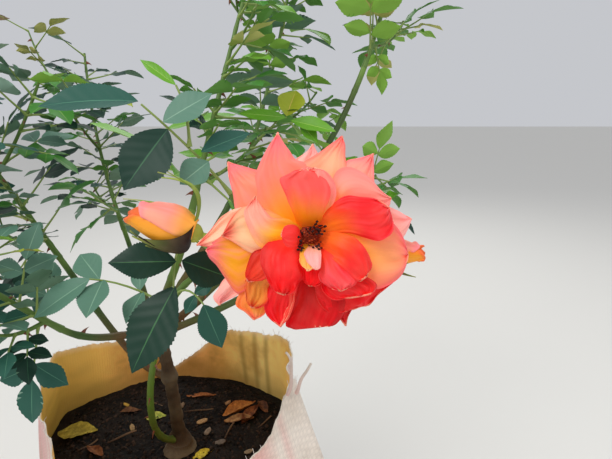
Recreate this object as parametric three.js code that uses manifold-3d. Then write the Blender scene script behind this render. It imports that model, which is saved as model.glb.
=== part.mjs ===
// A rose bush in its grow bag: an open woven bag of soil, a short woody foot, eight canes,
// masses of compound leaves, one open bloom and two buds. Sizes are in millimetres, +Z is up,
// and the origin is the middle of the bag's flat underside. The front of the bush is towards -Y.
import * as THREE from "three";
import { mergeVertices } from "three/addons/utils/BufferGeometryUtils.js";
import Module from "manifold-3d";

const wasm = await Module();
wasm.setup();

// Driving sizes
const gap = 0.35; // left between pieces that meet
const bag = {
  height: 340,
  rimRadius: 132,
  bellyOut: 9, // the bag's belly stands this far outside its rim
  footIn: 22, // and its underside is this much smaller
  wall: 2.6,
  sides: 30,
  bandHeights: [0, 10, 36, 100, 190, 278], // level rings, from the underside up
  collarShares: [0.34, 0.68, 1], // rings between the last band and the uneven rim
  earAngle: -30, // the corner that stands up, front right
  cornerOut: 64, // below the ear the flat bag's side seam bulges this far at rim height
  cornerBefore: 50,
  cornerAfter: 24,
  cornerLean: 0.48, // the ear leans in by this share of its rise
  farCorner: { angle: 160, out: 14, spread: 30 }, // the flat bag's other side seam
  flatFront: { angle: -132, out: -17, spread: 66 }, // and the wall drawn in between them
};

// The torn rim's height at each angle round the bag, with the standing corner and the sunk fold
const rimOutline = [
  [-180, 357], [-114, 357], [-78, 347], [-54, 355], [-42, 382], [-30, 415], [-18, 388], [28, 380],
  [42, 368], [67, 359], [80, 340], [103, 297], [114, 338], [137, 358], [162, 365], [180, 357],
];
const soilTop = 292;
const soilEdge = 283;
const soilClear = 4; // between the soil and the bag's wall
const soilCorner = 8; // and this much more in the bag's tight corner
// The woody stem: a flare on the soil, two knuckles that the canes spring from, and its taper
const trunk = {
  foot: [16, -16, 303],
  footRadius: 12,
  flare: 19,
  bend: [18, -30, 372],
  top: [20, -58, 446],
  rootRadius: 6.6,
  tipRadius: 5,
  middleShare: 0.62,
  middleRadius: 8.6,
  topRadius: 9.8,
};
const cane = { sides: 6, steps: 7 };
const twig = { sides: 3, root: 2.3, tip: 1.3, sideRoot: 1.5, sideTip: 1.1, lastLeaf: 0.985 };
const leaf = {
  rachisShare: 0.54, // of the whole leaf's length
  rachisRoot: 1.25,
  rachisTip: 0.9,
  leafletShare: 0.44,
  halfWidthShare: 0.31, // of a leaflet's length
  widestAt: 0.45,
  thickness: 1.5,
  stagger: 0.02, // of the stalk, between the two of a pair
  sunk: 0.6, // a leaflet's root reaches this far past the middle of the stalk
  splay: 66, // degrees between a side leaflet and the leaf's own stalk
  threeShare: 0.45, // of the leaves have three leaflets, the rest five
  tries: 9,
};
const crown = { centre: [70, 10, 600], radii: [290, 232, 350], lowest: 356 };
const bloom = {
  centre: [150, -219, 581],
  facing: [-0.01, -0.963, 0.27],
  rootRadius: 3.4,
  rootHeight: -15,
  petalThickness: 1.1,
  hipLength: 15,
  hipRadius: 5.6,
};
const clusterFork = { centre: [128, -151, 553], radius: 4.6 };

// Each cane: the part of the stem it springs from, the way it leaves it (degrees round, degrees
// from upright), its tip, the way it points there, and its radii. The mass of leaves that goes on
// from it has the same name.
const canes = {
  front: { from: "foot", round: -120, lean: 58, tip: [38, -100, 480], aim: [0.36, -0.26, 0.9], radii: [3.9, 2.7] },
  middle: { from: "top", round: -60, lean: 8, tip: [64, -92, 566], aim: [0.25, 0.1, 0.96], radii: [3.5, 2.7] },
  right: { from: "top", round: 22, lean: 54, tip: [205, 50, 676], aim: [0.34, 0.24, 0.91], radii: [4.2, 3.1] },
  right_low: { from: "top", round: -36, lean: 60, tip: [150, 10, 500], aim: [0.72, 0.34, 0.6], radii: [3.4, 2.5] },
  back: { from: "top", round: 88, lean: 52, tip: [88, 66, 590], aim: [0.3, 0.2, 0.93], radii: [3.8, 2.8] },
  back_left: { from: "middle", round: 122, lean: 66, tip: [-58, 78, 505], aim: [-0.4, 0.4, 0.82], radii: [3.5, 2.6] },
  left: { from: "middle", round: 183, lean: 66, tip: [-72, -34, 508], aim: [-0.45, -0.05, 0.89], radii: [3.5, 2.6] },
  front_left: { from: "top", round: -130, lean: 60, tip: [-34, -112, 478], aim: [-0.6, -0.4, 0.69], radii: [3.3, 2.5] },
};

// Each mass: the tip of its stem, how many leaves and side twigs its rule grows, the length of a
// leaf, and the seed of its random draws.
const masses = {
  middle: { tip: [104, -52, 722], leaves: 6, twigs: 1, size: 108, seed: 211 },
  right: { tip: [252, 90, 852], leaves: 6, twigs: 2, size: 112, seed: 317 },
  back: { tip: [136, 118, 790], leaves: 6, twigs: 2, size: 114, seed: 419 },
  back_left: { tip: [-112, 150, 700], leaves: 5, twigs: 2, size: 114, seed: 523 },
  left: { tip: [-140, -60, 660], leaves: 6, twigs: 2, size: 112, seed: 631 },
  front_left: { tip: [-96, -150, 560], leaves: 6, twigs: 1, size: 104, seed: 739 },
  right_low: { tip: [226, 84, 566], leaves: 6, twigs: 1, size: 104, seed: 853 },
};

// The flowering shoot's own leaves: the share of its stem where each springs, the bend of its
// stalk, the foot of its end leaflet, the tip of that leaflet, the way the leaf faces, and its side
// leaflets. The first one springs from a short side twig.
const shootTwig = { at: 0.86, bend: [112, -158, 570], tip: [104, -160, 591], radii: [1.6, 1.3] };
const shootLeaves = {
  upper_left: {
    at: null, bend: [88, -164, 616], end: [63, -179, 641], tip: [18, -195, 644],
    face: [0.1, -0.45, 0.88], pairs: 2, side: 38,
  },
  under_bud: {
    at: 0.66, bend: [74, -178, 592], end: [76, -191, 544], tip: [56, -215, 507],
    face: [-0.35, -0.86, 0.36], pairs: 1, side: 38,
  },
  low: {
    at: 0.24, bend: [66, -128, 524], end: [80, -142, 512], tip: [93, -152, 485],
    face: [0.2, -0.9, 0.4], pairs: 1, side: 15,
  },
  low_left: {
    at: 0.12, bend: [22, -116, 520], end: [2, -134, 527], tip: [-30, -152, 508],
    face: [-0.2, -0.6, 0.77], pairs: 2, side: 31,
  },
};

// Petals of the bloom, outer ones first: degrees round it (0 to the right, 90 up, as it faces the
// viewer), reach, width, rise of its middle, rise of its tip, rise of its edges, and how round
// its end is (1 is pointed, 3 is round).
const petals = [
  [138, 52, 32, 0, -12, -3, 1.1],
  [91, 44, 26, -8, -14, -2, 1.2],
  [50, 50, 36, -2, -12, -4, 1.2],
  [9, 51, 28, -5, -13, -2, 1.2],
  [-66, 45, 26, -5, -11, -2, 1.2],
  [-147, 55, 18, -8, -15, -1, 1.4],
  [181, 54, 22, -2, -8, -2, 1.2],
  [108, 52, 46, 1, -10, -5, 1.1],
  [71, 51, 36, -1, -11, -4, 1.1],
  [27, 44, 44, 3, -6, 3, 1.8],
  [-20, 46, 46, 2, -8, 4, 2.4],
  [-88, 42, 38, 0, -9, 3, 1.8],
  [-118, 41, 24, 0, -8, -2, 1.4],
  [-167, 52, 36, 0, -9, -4, 1.5],
  [168, 44, 34, 4, -4, -4, 1.6],
  [-101, 40, 18, 4, -4, -2, 1.4],
  [-75, 34, 30, 6, 0, -2, 2],
  [22, 41, 30, 9, 3, -3, 2],
  [-42, 37, 28, 11, 2, -3, 2.6],
  [-128, 34, 26, 13, 5, -3, 2],
  [70, 31, 24, 10, 6, 3, 2.6],
  [150, 28, 24, 9, 5, -3, 1.8],
];

// The buds: where each starts and ends, its girth, and its sepals (degrees round, reach and rise
// of the bend, reach and rise of the tip, width). Its stalk leaves the fork by the way given.
const buds = {
  left: {
    base: [96, -201, 574.5], tip: [60, -203, 592], girth: 9.2, leaves: [-0.62, -0.18, 0.76],
    sepals: [
      [90, 36, 2, 27, 28, 6],
      [-20, 12, 14, 10.5, 37, 8],
      [200, 12, 14, 10.5, 38, 8],
      [-90, 15, 12, 12, 42, 7],
    ],
  },
  right: {
    base: [182, -189, 565], tip: [211, -198, 566], girth: 7.4, leaves: [0.93, -0.05, 0.36],
    sepals: [
      [90, 10, 10, 8.5, 27, 6],
      [-150, 10, 10, 8.5, 28, 6],
      [-60, 14, 12, 16, 27, 5],
    ],
  },
};

const paints = {
  bag: { color: 0xd3b5a2, roughness: 0.78, metalness: 0 },
  soil: { color: 0x2e221a, roughness: 0.97, metalness: 0 },
  wood: { color: 0x5b4a33, roughness: 0.85, metalness: 0 },
  cane: { color: 0x55702f, roughness: 0.6, metalness: 0 },
  leafDark: { color: 0x2c5a3f, roughness: 0.52, metalness: 0 },
  leafBright: { color: 0x5c9a24, roughness: 0.5, metalness: 0 },
  leafBlue: { color: 0x53806f, roughness: 0.55, metalness: 0 },
  petal: { color: 0xf2564e, roughness: 0.55, metalness: 0 },
  bud: { color: 0xf08a4e, roughness: 0.55, metalness: 0 },
};

const up = new THREE.Vector3(0, 0, 1);
const vec = (list) => new THREE.Vector3(...list);
const degrees = THREE.MathUtils.degToRad;
const mix = THREE.MathUtils.lerp;

function makeRandom(seed) {
  let state = seed;
  return () => {
    state = (state * 48271) % 2147483647;
    return state / 2147483647;
  };
}

// Closed geometry to a solid, and back to a plain geometry
function solidOf(geometry) {
  geometry.deleteAttribute("normal");
  geometry.deleteAttribute("uv");
  const merged = mergeVertices(geometry, 1e-4);
  return new wasm.Manifold(
    new wasm.Mesh({
      numProp: 3,
      vertProperties: new Float32Array(merged.attributes.position.array),
      triVerts: new Uint32Array(merged.index.array),
    }),
  );
}

function geometryOf(solid) {
  const mesh = solid.getMesh();
  return new THREE.BufferGeometry()
    .setAttribute("position", new THREE.BufferAttribute(new Float32Array(mesh.vertProperties), 3))
    .setIndex(new THREE.BufferAttribute(new Uint32Array(mesh.triVerts), 1));
}

// All solids joined, keeping the largest body and dropping loose scraps
function fuse(geometries) {
  const joined = wasm.Manifold.union(geometries.map(solidOf));
  const bodies = joined.decompose().sort((a, b) => b.volume() - a.volume());
  return geometryOf(bodies[0]);
}

// Moves every vertex of a geometry by a rule that gets and returns a Vector3
function reshape(geometry, rule) {
  const position = geometry.getAttribute("position");
  const point = new THREE.Vector3();
  for (let i = 0; i < position.count; i += 1) {
    const moved = rule(point.fromBufferAttribute(position, i));
    position.setXYZ(i, moved.x, moved.y, moved.z);
  }
  return geometry;
}

const evenShares = (steps) => Array.from({ length: steps + 1 }, (_, i) => i / steps);

// A tapering limb: a cylinder bent onto a curve, with a ring at each of the given shares of it
function limb(curve, rootRadius, tipRadius, sides, shares) {
  const steps = shares.length - 1;
  const chord = curve.getPoint(1).sub(curve.getPoint(0));
  const sideways = Math.abs(chord.x) < Math.abs(chord.y) ? [1, 0, 0] : [0, 1, 0];
  const stations = shares.map((share) => {
    const tangent = curve.getTangent(share);
    const normal = new THREE.Vector3().crossVectors(tangent, vec(sideways)).normalize();
    const binormal = new THREE.Vector3().crossVectors(tangent, normal);
    return { centre: curve.getPoint(share), normal, binormal, share };
  });
  const straight = new THREE.CylinderGeometry(1, 1, 1, sides, steps);
  return reshape(straight, (point) => {
    const station = stations[Math.round((point.y + 0.5) * steps)];
    const radius = mix(rootRadius, tipRadius, station.share);
    return station.centre
      .clone()
      .addScaledVector(station.normal, radius * point.x)
      .addScaledVector(station.binormal, -radius * point.z);
  });
}

// The bag's outline: radius at an angle and height, and height of its rim
function pulse(distance, before, after) {
  return distance < 0 ? Math.max(0, 1 + distance / before) : Math.max(0, 1 - distance / after);
}

function turnFrom(angle, degreesRound) {
  return THREE.MathUtils.euclideanModulo(angle - degreesRound + 180, 360) - 180;
}

// The value at a place along straight lines through the points
function between(points, at) {
  const next = Math.max(1, points.findIndex(([place]) => place >= at));
  const [[fromPlace, from], [toPlace, to]] = [points[next - 1], points[next]];
  return mix(from, to, (at - fromPlace) / (toPlace - fromPlace));
}

function bulge(row, angle) {
  return row.out * pulse(turnFrom(angle, row.angle), row.spread, row.spread);
}

function rimHeight(angle) {
  return between(rimOutline, turnFrom(angle, 0)) + 1.5 * Math.sin(degrees(7 * angle));
}

function bagRadius(angle, height) {
  const share = Math.min(1, height / bag.height);
  const belly = bag.bellyOut * Math.sin(Math.PI * share);
  const tuck = bag.footIn * Math.exp(-height / 13);
  const folds =
    3.4 * Math.sin(degrees(3 * angle + 35)) +
    2.4 * Math.sin(degrees(5 * angle + 110 + 0.5 * height)) +
    1.5 * Math.sin(degrees(9 * angle - 0.7 * height));
  const seam = pulse(turnFrom(angle, bag.earAngle), bag.cornerBefore, bag.cornerAfter) ** 1.4;
  const swell = bag.cornerOut * THREE.MathUtils.smoothstep(height, 60, bag.height + 30);
  const lean = bag.cornerLean * Math.max(0, height - bag.height);
  const flat = bulge(bag.farCorner, angle) + bulge(bag.flatFront, angle);
  const plan = (swell - lean) * seam + flat * THREE.MathUtils.smoothstep(height, 60, 300);
  return bag.rimRadius + belly - tuck + folds * (0.25 + 0.75 * share) + plan;
}

// A turned body whose rings follow the bag, each at its own inset and height, between two hubs
function turned(rings) {
  const profile = rings.map((ring, i) => new THREE.Vector2(ring.onAxis ? 0 : 100, i));
  const lathe = new THREE.LatheGeometry(profile, bag.sides).rotateX(Math.PI / 2);
  return reshape(lathe, (point) => {
    const ring = rings[Math.round(point.z)];
    const angle = THREE.MathUtils.radToDeg(Math.atan2(point.y, point.x));
    if (ring.onAxis) return new THREE.Vector3(...ring.onAxis);
    const height = ring.height(angle);
    const tight = (ring.cornerInset ?? 0) * pulse(turnFrom(angle, bag.earAngle + 6), 40, 30);
    const radius = ring.share * (bagRadius(angle, ring.level ?? height) - ring.inset - tight);
    return new THREE.Vector3(
      radius * Math.cos(degrees(angle)),
      radius * Math.sin(degrees(angle)),
      height,
    );
  });
}

function bagRings(inset, floor) {
  const bands = bag.bandHeights.map((height) => ({
    share: 1,
    inset,
    level: height,
    height: () => Math.max(height, floor),
  }));
  const lastBand = bag.bandHeights.at(-1);
  const collar = bag.collarShares.map((share) => ({
    share: 1,
    inset,
    height: (angle) => mix(lastBand, rimHeight(angle), share),
  }));
  return [...bands, ...collar];
}

function bagGeometry() {
  const hub = [7, 4]; // off the middle, so that the mount's point lies inside one face
  return turned([
    { onAxis: [...hub, 0] },
    ...bagRings(0, 0),
    ...bagRings(bag.wall, bag.wall).reverse(),
    { onAxis: [...hub, bag.wall] },
  ]);
}

function soilGeometry() {
  const inset = bag.wall + soilClear;
  const wall = bagRings(inset, bag.wall + gap)
    .slice(0, bag.bandHeights.length)
    .map((ring) => ({ ...ring, cornerInset: soilCorner }));
  const mound = (share, height, wave) => ({
    share,
    inset: inset + 3,
    cornerInset: soilCorner,
    level: bag.bandHeights.at(-1),
    height: (angle) => height + wave * Math.sin(degrees(4 * angle + 40)),
  });
  return turned([
    { onAxis: [7, 4, bag.wall + gap] },
    ...wall,
    mound(1, soilEdge, 0),
    mound(0.76, mix(soilEdge, soilTop, 0.6), 2),
    mound(0.32, soilTop, 0),
    { onAxis: [14, -18, soilTop] },
  ]);
}

// The woody stem, with its flare on the soil and its knuckles
function trunkLine() {
  return new THREE.QuadraticBezierCurve3(vec(trunk.foot), vec(trunk.bend), vec(trunk.top));
}

const knuckles = {
  foot: { centre: vec(trunk.foot), radius: trunk.footRadius },
  middle: { centre: trunkLine().getPoint(trunk.middleShare), radius: trunk.middleRadius },
  top: { centre: vec(trunk.top), radius: trunk.topRadius },
};

function trunkGeometry() {
  const [x, y, z] = trunk.foot;
  const low = soilTop + gap;
  const outline = [[0, low], [trunk.flare, low], [trunk.flare * 0.8, low + 4]];
  for (let turn = 0; turn <= 60; turn += 30) {
    const [c, s] = [Math.cos(degrees(turn)), Math.sin(degrees(turn))];
    outline.push([trunk.footRadius * c, z + trunk.footRadius * s]);
  }
  outline.push([0, z + trunk.footRadius]);
  const points = outline.map(([radius, height]) => new THREE.Vector2(radius, height));
  const flare = new THREE.LatheGeometry(points, 10).rotateX(Math.PI / 2).translate(x, y, 0);
  const swellings = [knuckles.middle, knuckles.top].map(({ centre, radius }) =>
    new THREE.IcosahedronGeometry(radius, 1).translate(...centre.toArray()));
  const stem = limb(trunkLine(), trunk.rootRadius, trunk.tipRadius, 6, evenShares(5));
  return fuse([flare, stem, ...swellings]);
}

function caneCurve(row) {
  const away = new THREE.Vector3(
    Math.sin(degrees(row.lean)) * Math.cos(degrees(row.round)),
    Math.sin(degrees(row.lean)) * Math.sin(degrees(row.round)),
    Math.cos(degrees(row.lean)),
  );
  const knuckle = knuckles[row.from];
  const root = knuckle.centre.clone().addScaledVector(away, knuckle.radius + gap);
  const tip = vec(row.tip);
  const reach = root.distanceTo(tip);
  const leaving = root.clone().addScaledVector(away, 0.2 * reach);
  const arriving = tip.clone().addScaledVector(vec(row.aim).normalize(), -0.42 * reach);
  return new THREE.CubicBezierCurve3(root, leaving, arriving, tip);
}

// Compound leaves
function leafletOf(root, along, face, length) {
  const direction = along.clone().normalize();
  const normal = face.clone().addScaledVector(direction, -face.dot(direction)).normalize();
  const side = new THREE.Vector3().crossVectors(direction, normal);
  return { root, direction, normal, side, length, halfWidth: length * leaf.halfWidthShare };
}

function compoundLeaf(stalk, endAlong, face, pairs, sideLength, endLength, random) {
  const leaflets = [];
  const shares = [0];
  for (let pair = 0; pair < pairs; pair += 1) {
    const share = pairs === 1 ? 0.74 : mix(0.36, 0.86, pair / (pairs - 1));
    const tangent = stalk.getTangent(share);
    const across = new THREE.Vector3().crossVectors(tangent, face).normalize();
    const length = sideLength * mix(0.84, 1, pairs === 1 ? 1 : pair / (pairs - 1));
    shares.push(share);
    for (const hand of [-1, 1]) {
      const at = stalk.getPoint(share + hand * leaf.stagger);
      const splay = degrees(leaf.splay + 14 * (random() - 0.5));
      const along = tangent
        .clone()
        .multiplyScalar(Math.cos(splay))
        .addScaledVector(across, hand * Math.sin(splay))
        .addScaledVector(up, -0.16 * random());
      const tilted = face.clone().addScaledVector(across, 0.5 * (random() - 0.5));
      leaflets.push(leafletOf(at, along, tilted, length * mix(0.92, 1.08, random())));
    }
  }
  leaflets.push(leafletOf(stalk.getPoint(1), endAlong, face, endLength));
  return { stalk, leaflets, shares: stalk.isLineCurve3 ? [0, 1] : [...shares, 1] };
}

function leafGeometries(made) {
  const { stalk, leaflets, shares } = made;
  const parts = [limb(stalk, leaf.rachisRoot, leaf.rachisTip, twig.sides, shares)];
  for (const one of leaflets) {
    const whole = one.length + leaf.sunk;
    const blade = new THREE.OctahedronGeometry(1);
    parts.push(
      reshape(blade, (point) => {
        const share = point.y === 0 ? leaf.widestAt : (point.y + 1) / 2;
        const fold = point.x === 0 ? 0 : 0.12 * one.halfWidth;
        return one.root
          .clone()
          .addScaledVector(one.direction, share * whole - leaf.sunk)
          .addScaledVector(one.side, point.x * one.halfWidth * 1.06)
          .addScaledVector(one.normal, (point.z * leaf.thickness) / 2 + fold);
      }),
    );
  }
  return parts;
}

// Where leaves may not go: every twig, stalk and cane as points with a reach round them, and every
// leaflet as a thin plate
const rods = [];
const plates = [];

function addRod(curve, reach, spacing = 3) {
  const steps = Math.max(2, Math.ceil(curve.getLength() / spacing));
  for (const point of curve.getSpacedPoints(steps)) rods.push({ point, reach });
}

function leafletPoints(one) {
  const points = [];
  for (let i = 1; i <= 8; i += 1) {
    const share = i / 8;
    const wide = share < leaf.widestAt ? share / leaf.widestAt : (1 - share) / (1 - leaf.widestAt);
    for (const across of [-1, -0.5, 0, 0.5, 1]) {
      points.push(
        one.root
          .clone()
          .addScaledVector(one.direction, share * one.length)
          .addScaledVector(one.side, across * wide * one.halfWidth)
          .addScaledVector(one.normal, 0.12 * Math.abs(across) * wide * one.halfWidth),
      );
    }
  }
  return points;
}

const plateReach = 3.2;
function insidePlate(plate, point) {
  const arm = point.clone().sub(plate.root);
  if (arm.lengthSq() > (plate.length + 6) ** 2) return false;
  const along = arm.dot(plate.direction);
  if (along < -2 || along > plate.length + 2) return false;
  if (Math.abs(arm.dot(plate.normal) - 1) > plateReach) return false;
  return Math.abs(arm.dot(plate.side)) < plate.halfWidth + 2;
}

function addLeaf(made) {
  addRod(made.stalk, 2.2);
  for (const one of made.leaflets) plates.push({ ...one, points: leafletPoints(one) });
}

function insideCrown(point) {
  const [x, y, z] = crown.centre;
  const [a, b, c] = crown.radii;
  const share = ((point.x - x) / a) ** 2 + ((point.y - y) / b) ** 2 + ((point.z - z) / c) ** 2;
  const overEar = point.x > 80 && point.y < -20 ? 450 : crown.lowest;
  return share < 1 && point.z > overEar;
}

// The open space before the bloom and round it
const openSpaces = [
  { centre: [150, -205, 579], radius: 66 },
  { centre: [150, -262, 596], radius: 76 },
  { centre: [70, -208, 585], radius: 48 },
  { centre: [200, -165, 560], radius: 46 },
  { centre: [95, -262, 560], radius: 90 },
];

function isClear(made) {
  const own = made.leaflets.flatMap(leafletPoints);
  const stalkPoints = made.stalk.getSpacedPoints(8).slice(2);
  for (const point of own) {
    if (!insideCrown(point)) return false;
    if (openSpaces.some((space) => point.distanceTo(vec(space.centre)) < space.radius)) return false;
    if (rods.some((rod) => point.distanceTo(rod.point) < rod.reach)) return false;
  }
  for (const plate of plates) {
    if (own.some((point) => insidePlate(plate, point))) return false;
    if (stalkPoints.some((point) => insidePlate(plate, point))) return false;
    for (const mine of made.leaflets) {
      if (plate.points.some((point) => insidePlate(mine, point))) return false;
    }
  }
  for (const mine of made.leaflets) {
    if (rods.some((rod) => insidePlate(mine, rod.point))) return false;
  }
  return true;
}

// One leaf that the rule grows at a place on a twig: it is tried a few times, turned a little
// further round each time, and left out where no try stays clear
function growLeaf(root, tangent, round, size, random) {
  const across = new THREE.Vector3().crossVectors(tangent, new THREE.Vector3(0.31, 0.95, 0.02));
  across.normalize();
  for (let attempt = 0; attempt < leaf.tries; attempt += 1) {
    const turn = degrees(round + 40 * attempt + 20 * (random() - 0.5));
    const outward = across.clone().applyAxisAngle(tangent, turn);
    const spread = degrees(mix(48, 72, random()));
    const heading = tangent
      .clone()
      .multiplyScalar(Math.cos(spread))
      .addScaledVector(outward, Math.sin(spread))
      .addScaledVector(up, 0.12)
      .normalize();
    const length = size * mix(0.78, 1.12, random()) * (1 - 0.05 * attempt);
    const stalkLength = length * leaf.rachisShare;
    const droop = mix(0.05, 0.4, random());
    heading.addScaledVector(up, -droop).normalize();
    const end = root.clone().addScaledVector(heading, stalkLength);
    const endAlong = heading.clone().addScaledVector(up, -0.35);
    const level = new THREE.Vector3().crossVectors(heading, up).normalize();
    const face = new THREE.Vector3().crossVectors(level, heading).normalize();
    face.addScaledVector(level, 0.5 * (random() - 0.5)).normalize();
    const share = length * leaf.leafletShare;
    const stalk = new THREE.LineCurve3(root, end);
    const pairs = random() < leaf.threeShare ? 1 : 2;
    const made = compoundLeaf(stalk, endAlong, face, pairs, 0.88 * share, 1.06 * share, random);
    if (isClear(made)) return made;
  }
  return null;
}

// A mass: a stem that goes on from its cane, side twigs, and leaves at even steps round them
function growMass(row, caneRow) {
  const random = makeRandom(row.seed);
  const aim = vec(caneRow.aim).normalize();
  const start = vec(caneRow.tip).addScaledVector(aim, gap);
  const tip = vec(row.tip);
  const reach = start.distanceTo(tip);
  const stem = new THREE.QuadraticBezierCurve3(
    start,
    start.clone().addScaledVector(aim, 0.5 * reach),
    tip,
  );
  const twigs = [{ curve: stem, root: twig.root, tip: twig.tip, leaves: row.leaves, joints: [] }];
  for (let i = 0; i < row.twigs; i += 1) {
    const share = mix(0.12, 0.72, (i + 0.5 * random()) / row.twigs);
    const root = stem.getPoint(share);
    const tangent = stem.getTangent(share);
    twigs[0].joints.push(share);
    const outward = new THREE.Vector3().crossVectors(tangent, up).normalize();
    outward.applyAxisAngle(tangent, degrees(70 + 147 * i + 40 * random()));
    const length = reach * mix(0.42, 0.56, random());
    const bend = root.clone().addScaledVector(outward, 0.42 * length).addScaledVector(tangent, 0.2 * length);
    const end = bend.clone().addScaledVector(outward, 0.3 * length).addScaledVector(up, 0.42 * length);
    const curve = new THREE.QuadraticBezierCurve3(root, bend, end);
    twigs.push({ curve, root: twig.sideRoot, tip: twig.sideTip, leaves: 3, joints: [0.6] });
  }
  for (const one of twigs) addRod(one.curve, one.root + 2.2);
  const grown = [];
  for (const one of twigs) {
    const round = 360 * random();
    for (let i = 0; i < one.leaves; i += 1) {
      const share = mix(one === twigs[0] ? 0.1 : 0.35, twig.lastLeaf, i / (one.leaves - 1));
      const root = one.curve.getPoint(share);
      const tangent = one.curve.getTangent(share);
      const made = growLeaf(root, tangent, round + 137.5 * i, row.size * mix(1.05, 0.85, share), random);
      if (made) {
        one.joints.push(share);
        addLeaf(made);
        grown.push(made);
      }
    }
  }
  return { twigs, grown };
}

function massGeometry({ twigs, grown }, ...others) {
  const parts = twigs.map((one) => {
    const joints = [...new Set([0, ...one.joints, 1])].sort((a, b) => a - b);
    return limb(one.curve, one.root, one.tip, twig.sides, joints);
  });
  for (const made of grown) parts.push(...leafGeometries(made));
  return fuse([...parts, ...others]);
}

// The flowering shoot: its stem ends in the small knuckle that the flower stalks spring from
function growShoot(caneRow) {
  const random = makeRandom(97);
  const aim = vec(caneRow.aim).normalize();
  const start = vec(caneRow.tip).addScaledVector(aim, gap);
  const fork = vec(clusterFork.centre);
  const stem = new THREE.CubicBezierCurve3(
    start,
    start.clone().addScaledVector(aim, 42),
    fork.clone().add(new THREE.Vector3(-38, 16, -8)),
    fork,
  );
  const side = new THREE.QuadraticBezierCurve3(
    stem.getPoint(shootTwig.at),
    vec(shootTwig.bend),
    vec(shootTwig.tip),
  );
  const grown = Object.values(shootLeaves).map((row) => {
    const root = row.at === null ? side.getPoint(twig.lastLeaf) : stem.getPoint(row.at);
    const end = vec(row.end);
    const along = vec(row.tip).sub(end);
    const stalk = new THREE.QuadraticBezierCurve3(root, vec(row.bend), end);
    const face = vec(row.face).normalize();
    return compoundLeaf(stalk, along, face, row.pairs, row.side, along.length(), random);
  });
  const roots = Object.values(shootLeaves).flatMap((row) => (row.at === null ? [] : [row.at]));
  const twigs = [
    { curve: stem, root: 2.4, tip: 2, joints: [shootTwig.at, ...roots, 0.45] },
    { curve: side, root: shootTwig.radii[0], tip: shootTwig.radii[1], joints: [0.5] },
  ];
  for (const one of twigs) addRod(one.curve, one.root + 2.2);
  grown.forEach(addLeaf);
  return { twigs, grown };
}

// A frame for things that stand round an axis: right, upward and forward directions
function axisFrame(origin, axis) {
  const forward = vec(axis).normalize();
  const right = new THREE.Vector3().crossVectors(up, forward).normalize();
  const upward = new THREE.Vector3().crossVectors(forward, right);
  return { origin: vec(origin), forward, right, upward };
}

function inFrame(frame, x, y, z) {
  return frame.origin
    .clone()
    .addScaledVector(frame.right, x)
    .addScaledVector(frame.upward, y)
    .addScaledVector(frame.forward, z);
}

// A petal or sepal: a thin plate on a bent middle line, given by its root, bend and tip
function bladeGeometry(frame, blade) {
  const { angle, root, bend, tip, width, edge, round, rootShare, thickness, columns, rows } = blade;
  const c = Math.cos(degrees(angle));
  const s = Math.sin(degrees(angle));
  const line = new THREE.QuadraticBezierCurve(
    new THREE.Vector2(...root),
    new THREE.Vector2(...bend),
    new THREE.Vector2(...tip),
  );
  const outline = (share) => {
    const widest = 0.56;
    if (share < widest) return mix(rootShare, 1, Math.sin((Math.PI / 2) * (share / widest)));
    return 1 - 0.93 * ((share - widest) / (1 - widest)) ** round;
  };
  const flat = new THREE.BoxGeometry(1, 1, 1, columns, rows, 1);
  return reshape(flat, (point) => {
    const share = point.y + 0.5;
    const across = -2 * point.x;
    const at = line.getPoint(share);
    const tangent = line.getTangent(share);
    const reach = at.x - tangent.y * point.z * thickness;
    const rise = at.y + tangent.x * point.z * thickness + edge * across * across * share;
    const sideways = across * 0.5 * width * outline(share);
    return inFrame(frame, reach * c - sideways * s, reach * s + sideways * c, rise);
  });
}

function stalkCurve(away, target, arriving) {
  const out = vec(away).normalize();
  const fork = vec(clusterFork.centre);
  const root = fork.clone().addScaledVector(out, clusterFork.radius + gap);
  const reach = root.distanceTo(target);
  const leaving = root.clone().addScaledVector(out, 0.35 * reach);
  const before = target.clone().addScaledVector(arriving, -0.35 * reach);
  return new THREE.CubicBezierCurve3(root, leaving, before, target);
}

function hipProfile(length, radius) {
  return [
    [0, -length],
    [1.7, -length],
    [radius * 0.72, -length * 0.8],
    [radius, -length * 0.4],
    [radius * 0.82, 0],
    [0, 0.5],
  ].map(([r, h]) => new THREE.Vector2(r, h));
}

function placedLathe(profile, sides, frame, rise) {
  const lathe = new THREE.LatheGeometry(profile, sides).rotateX(Math.PI / 2);
  return reshape(lathe, (point) => inFrame(frame, point.x, point.y, point.z + rise));
}

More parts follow.
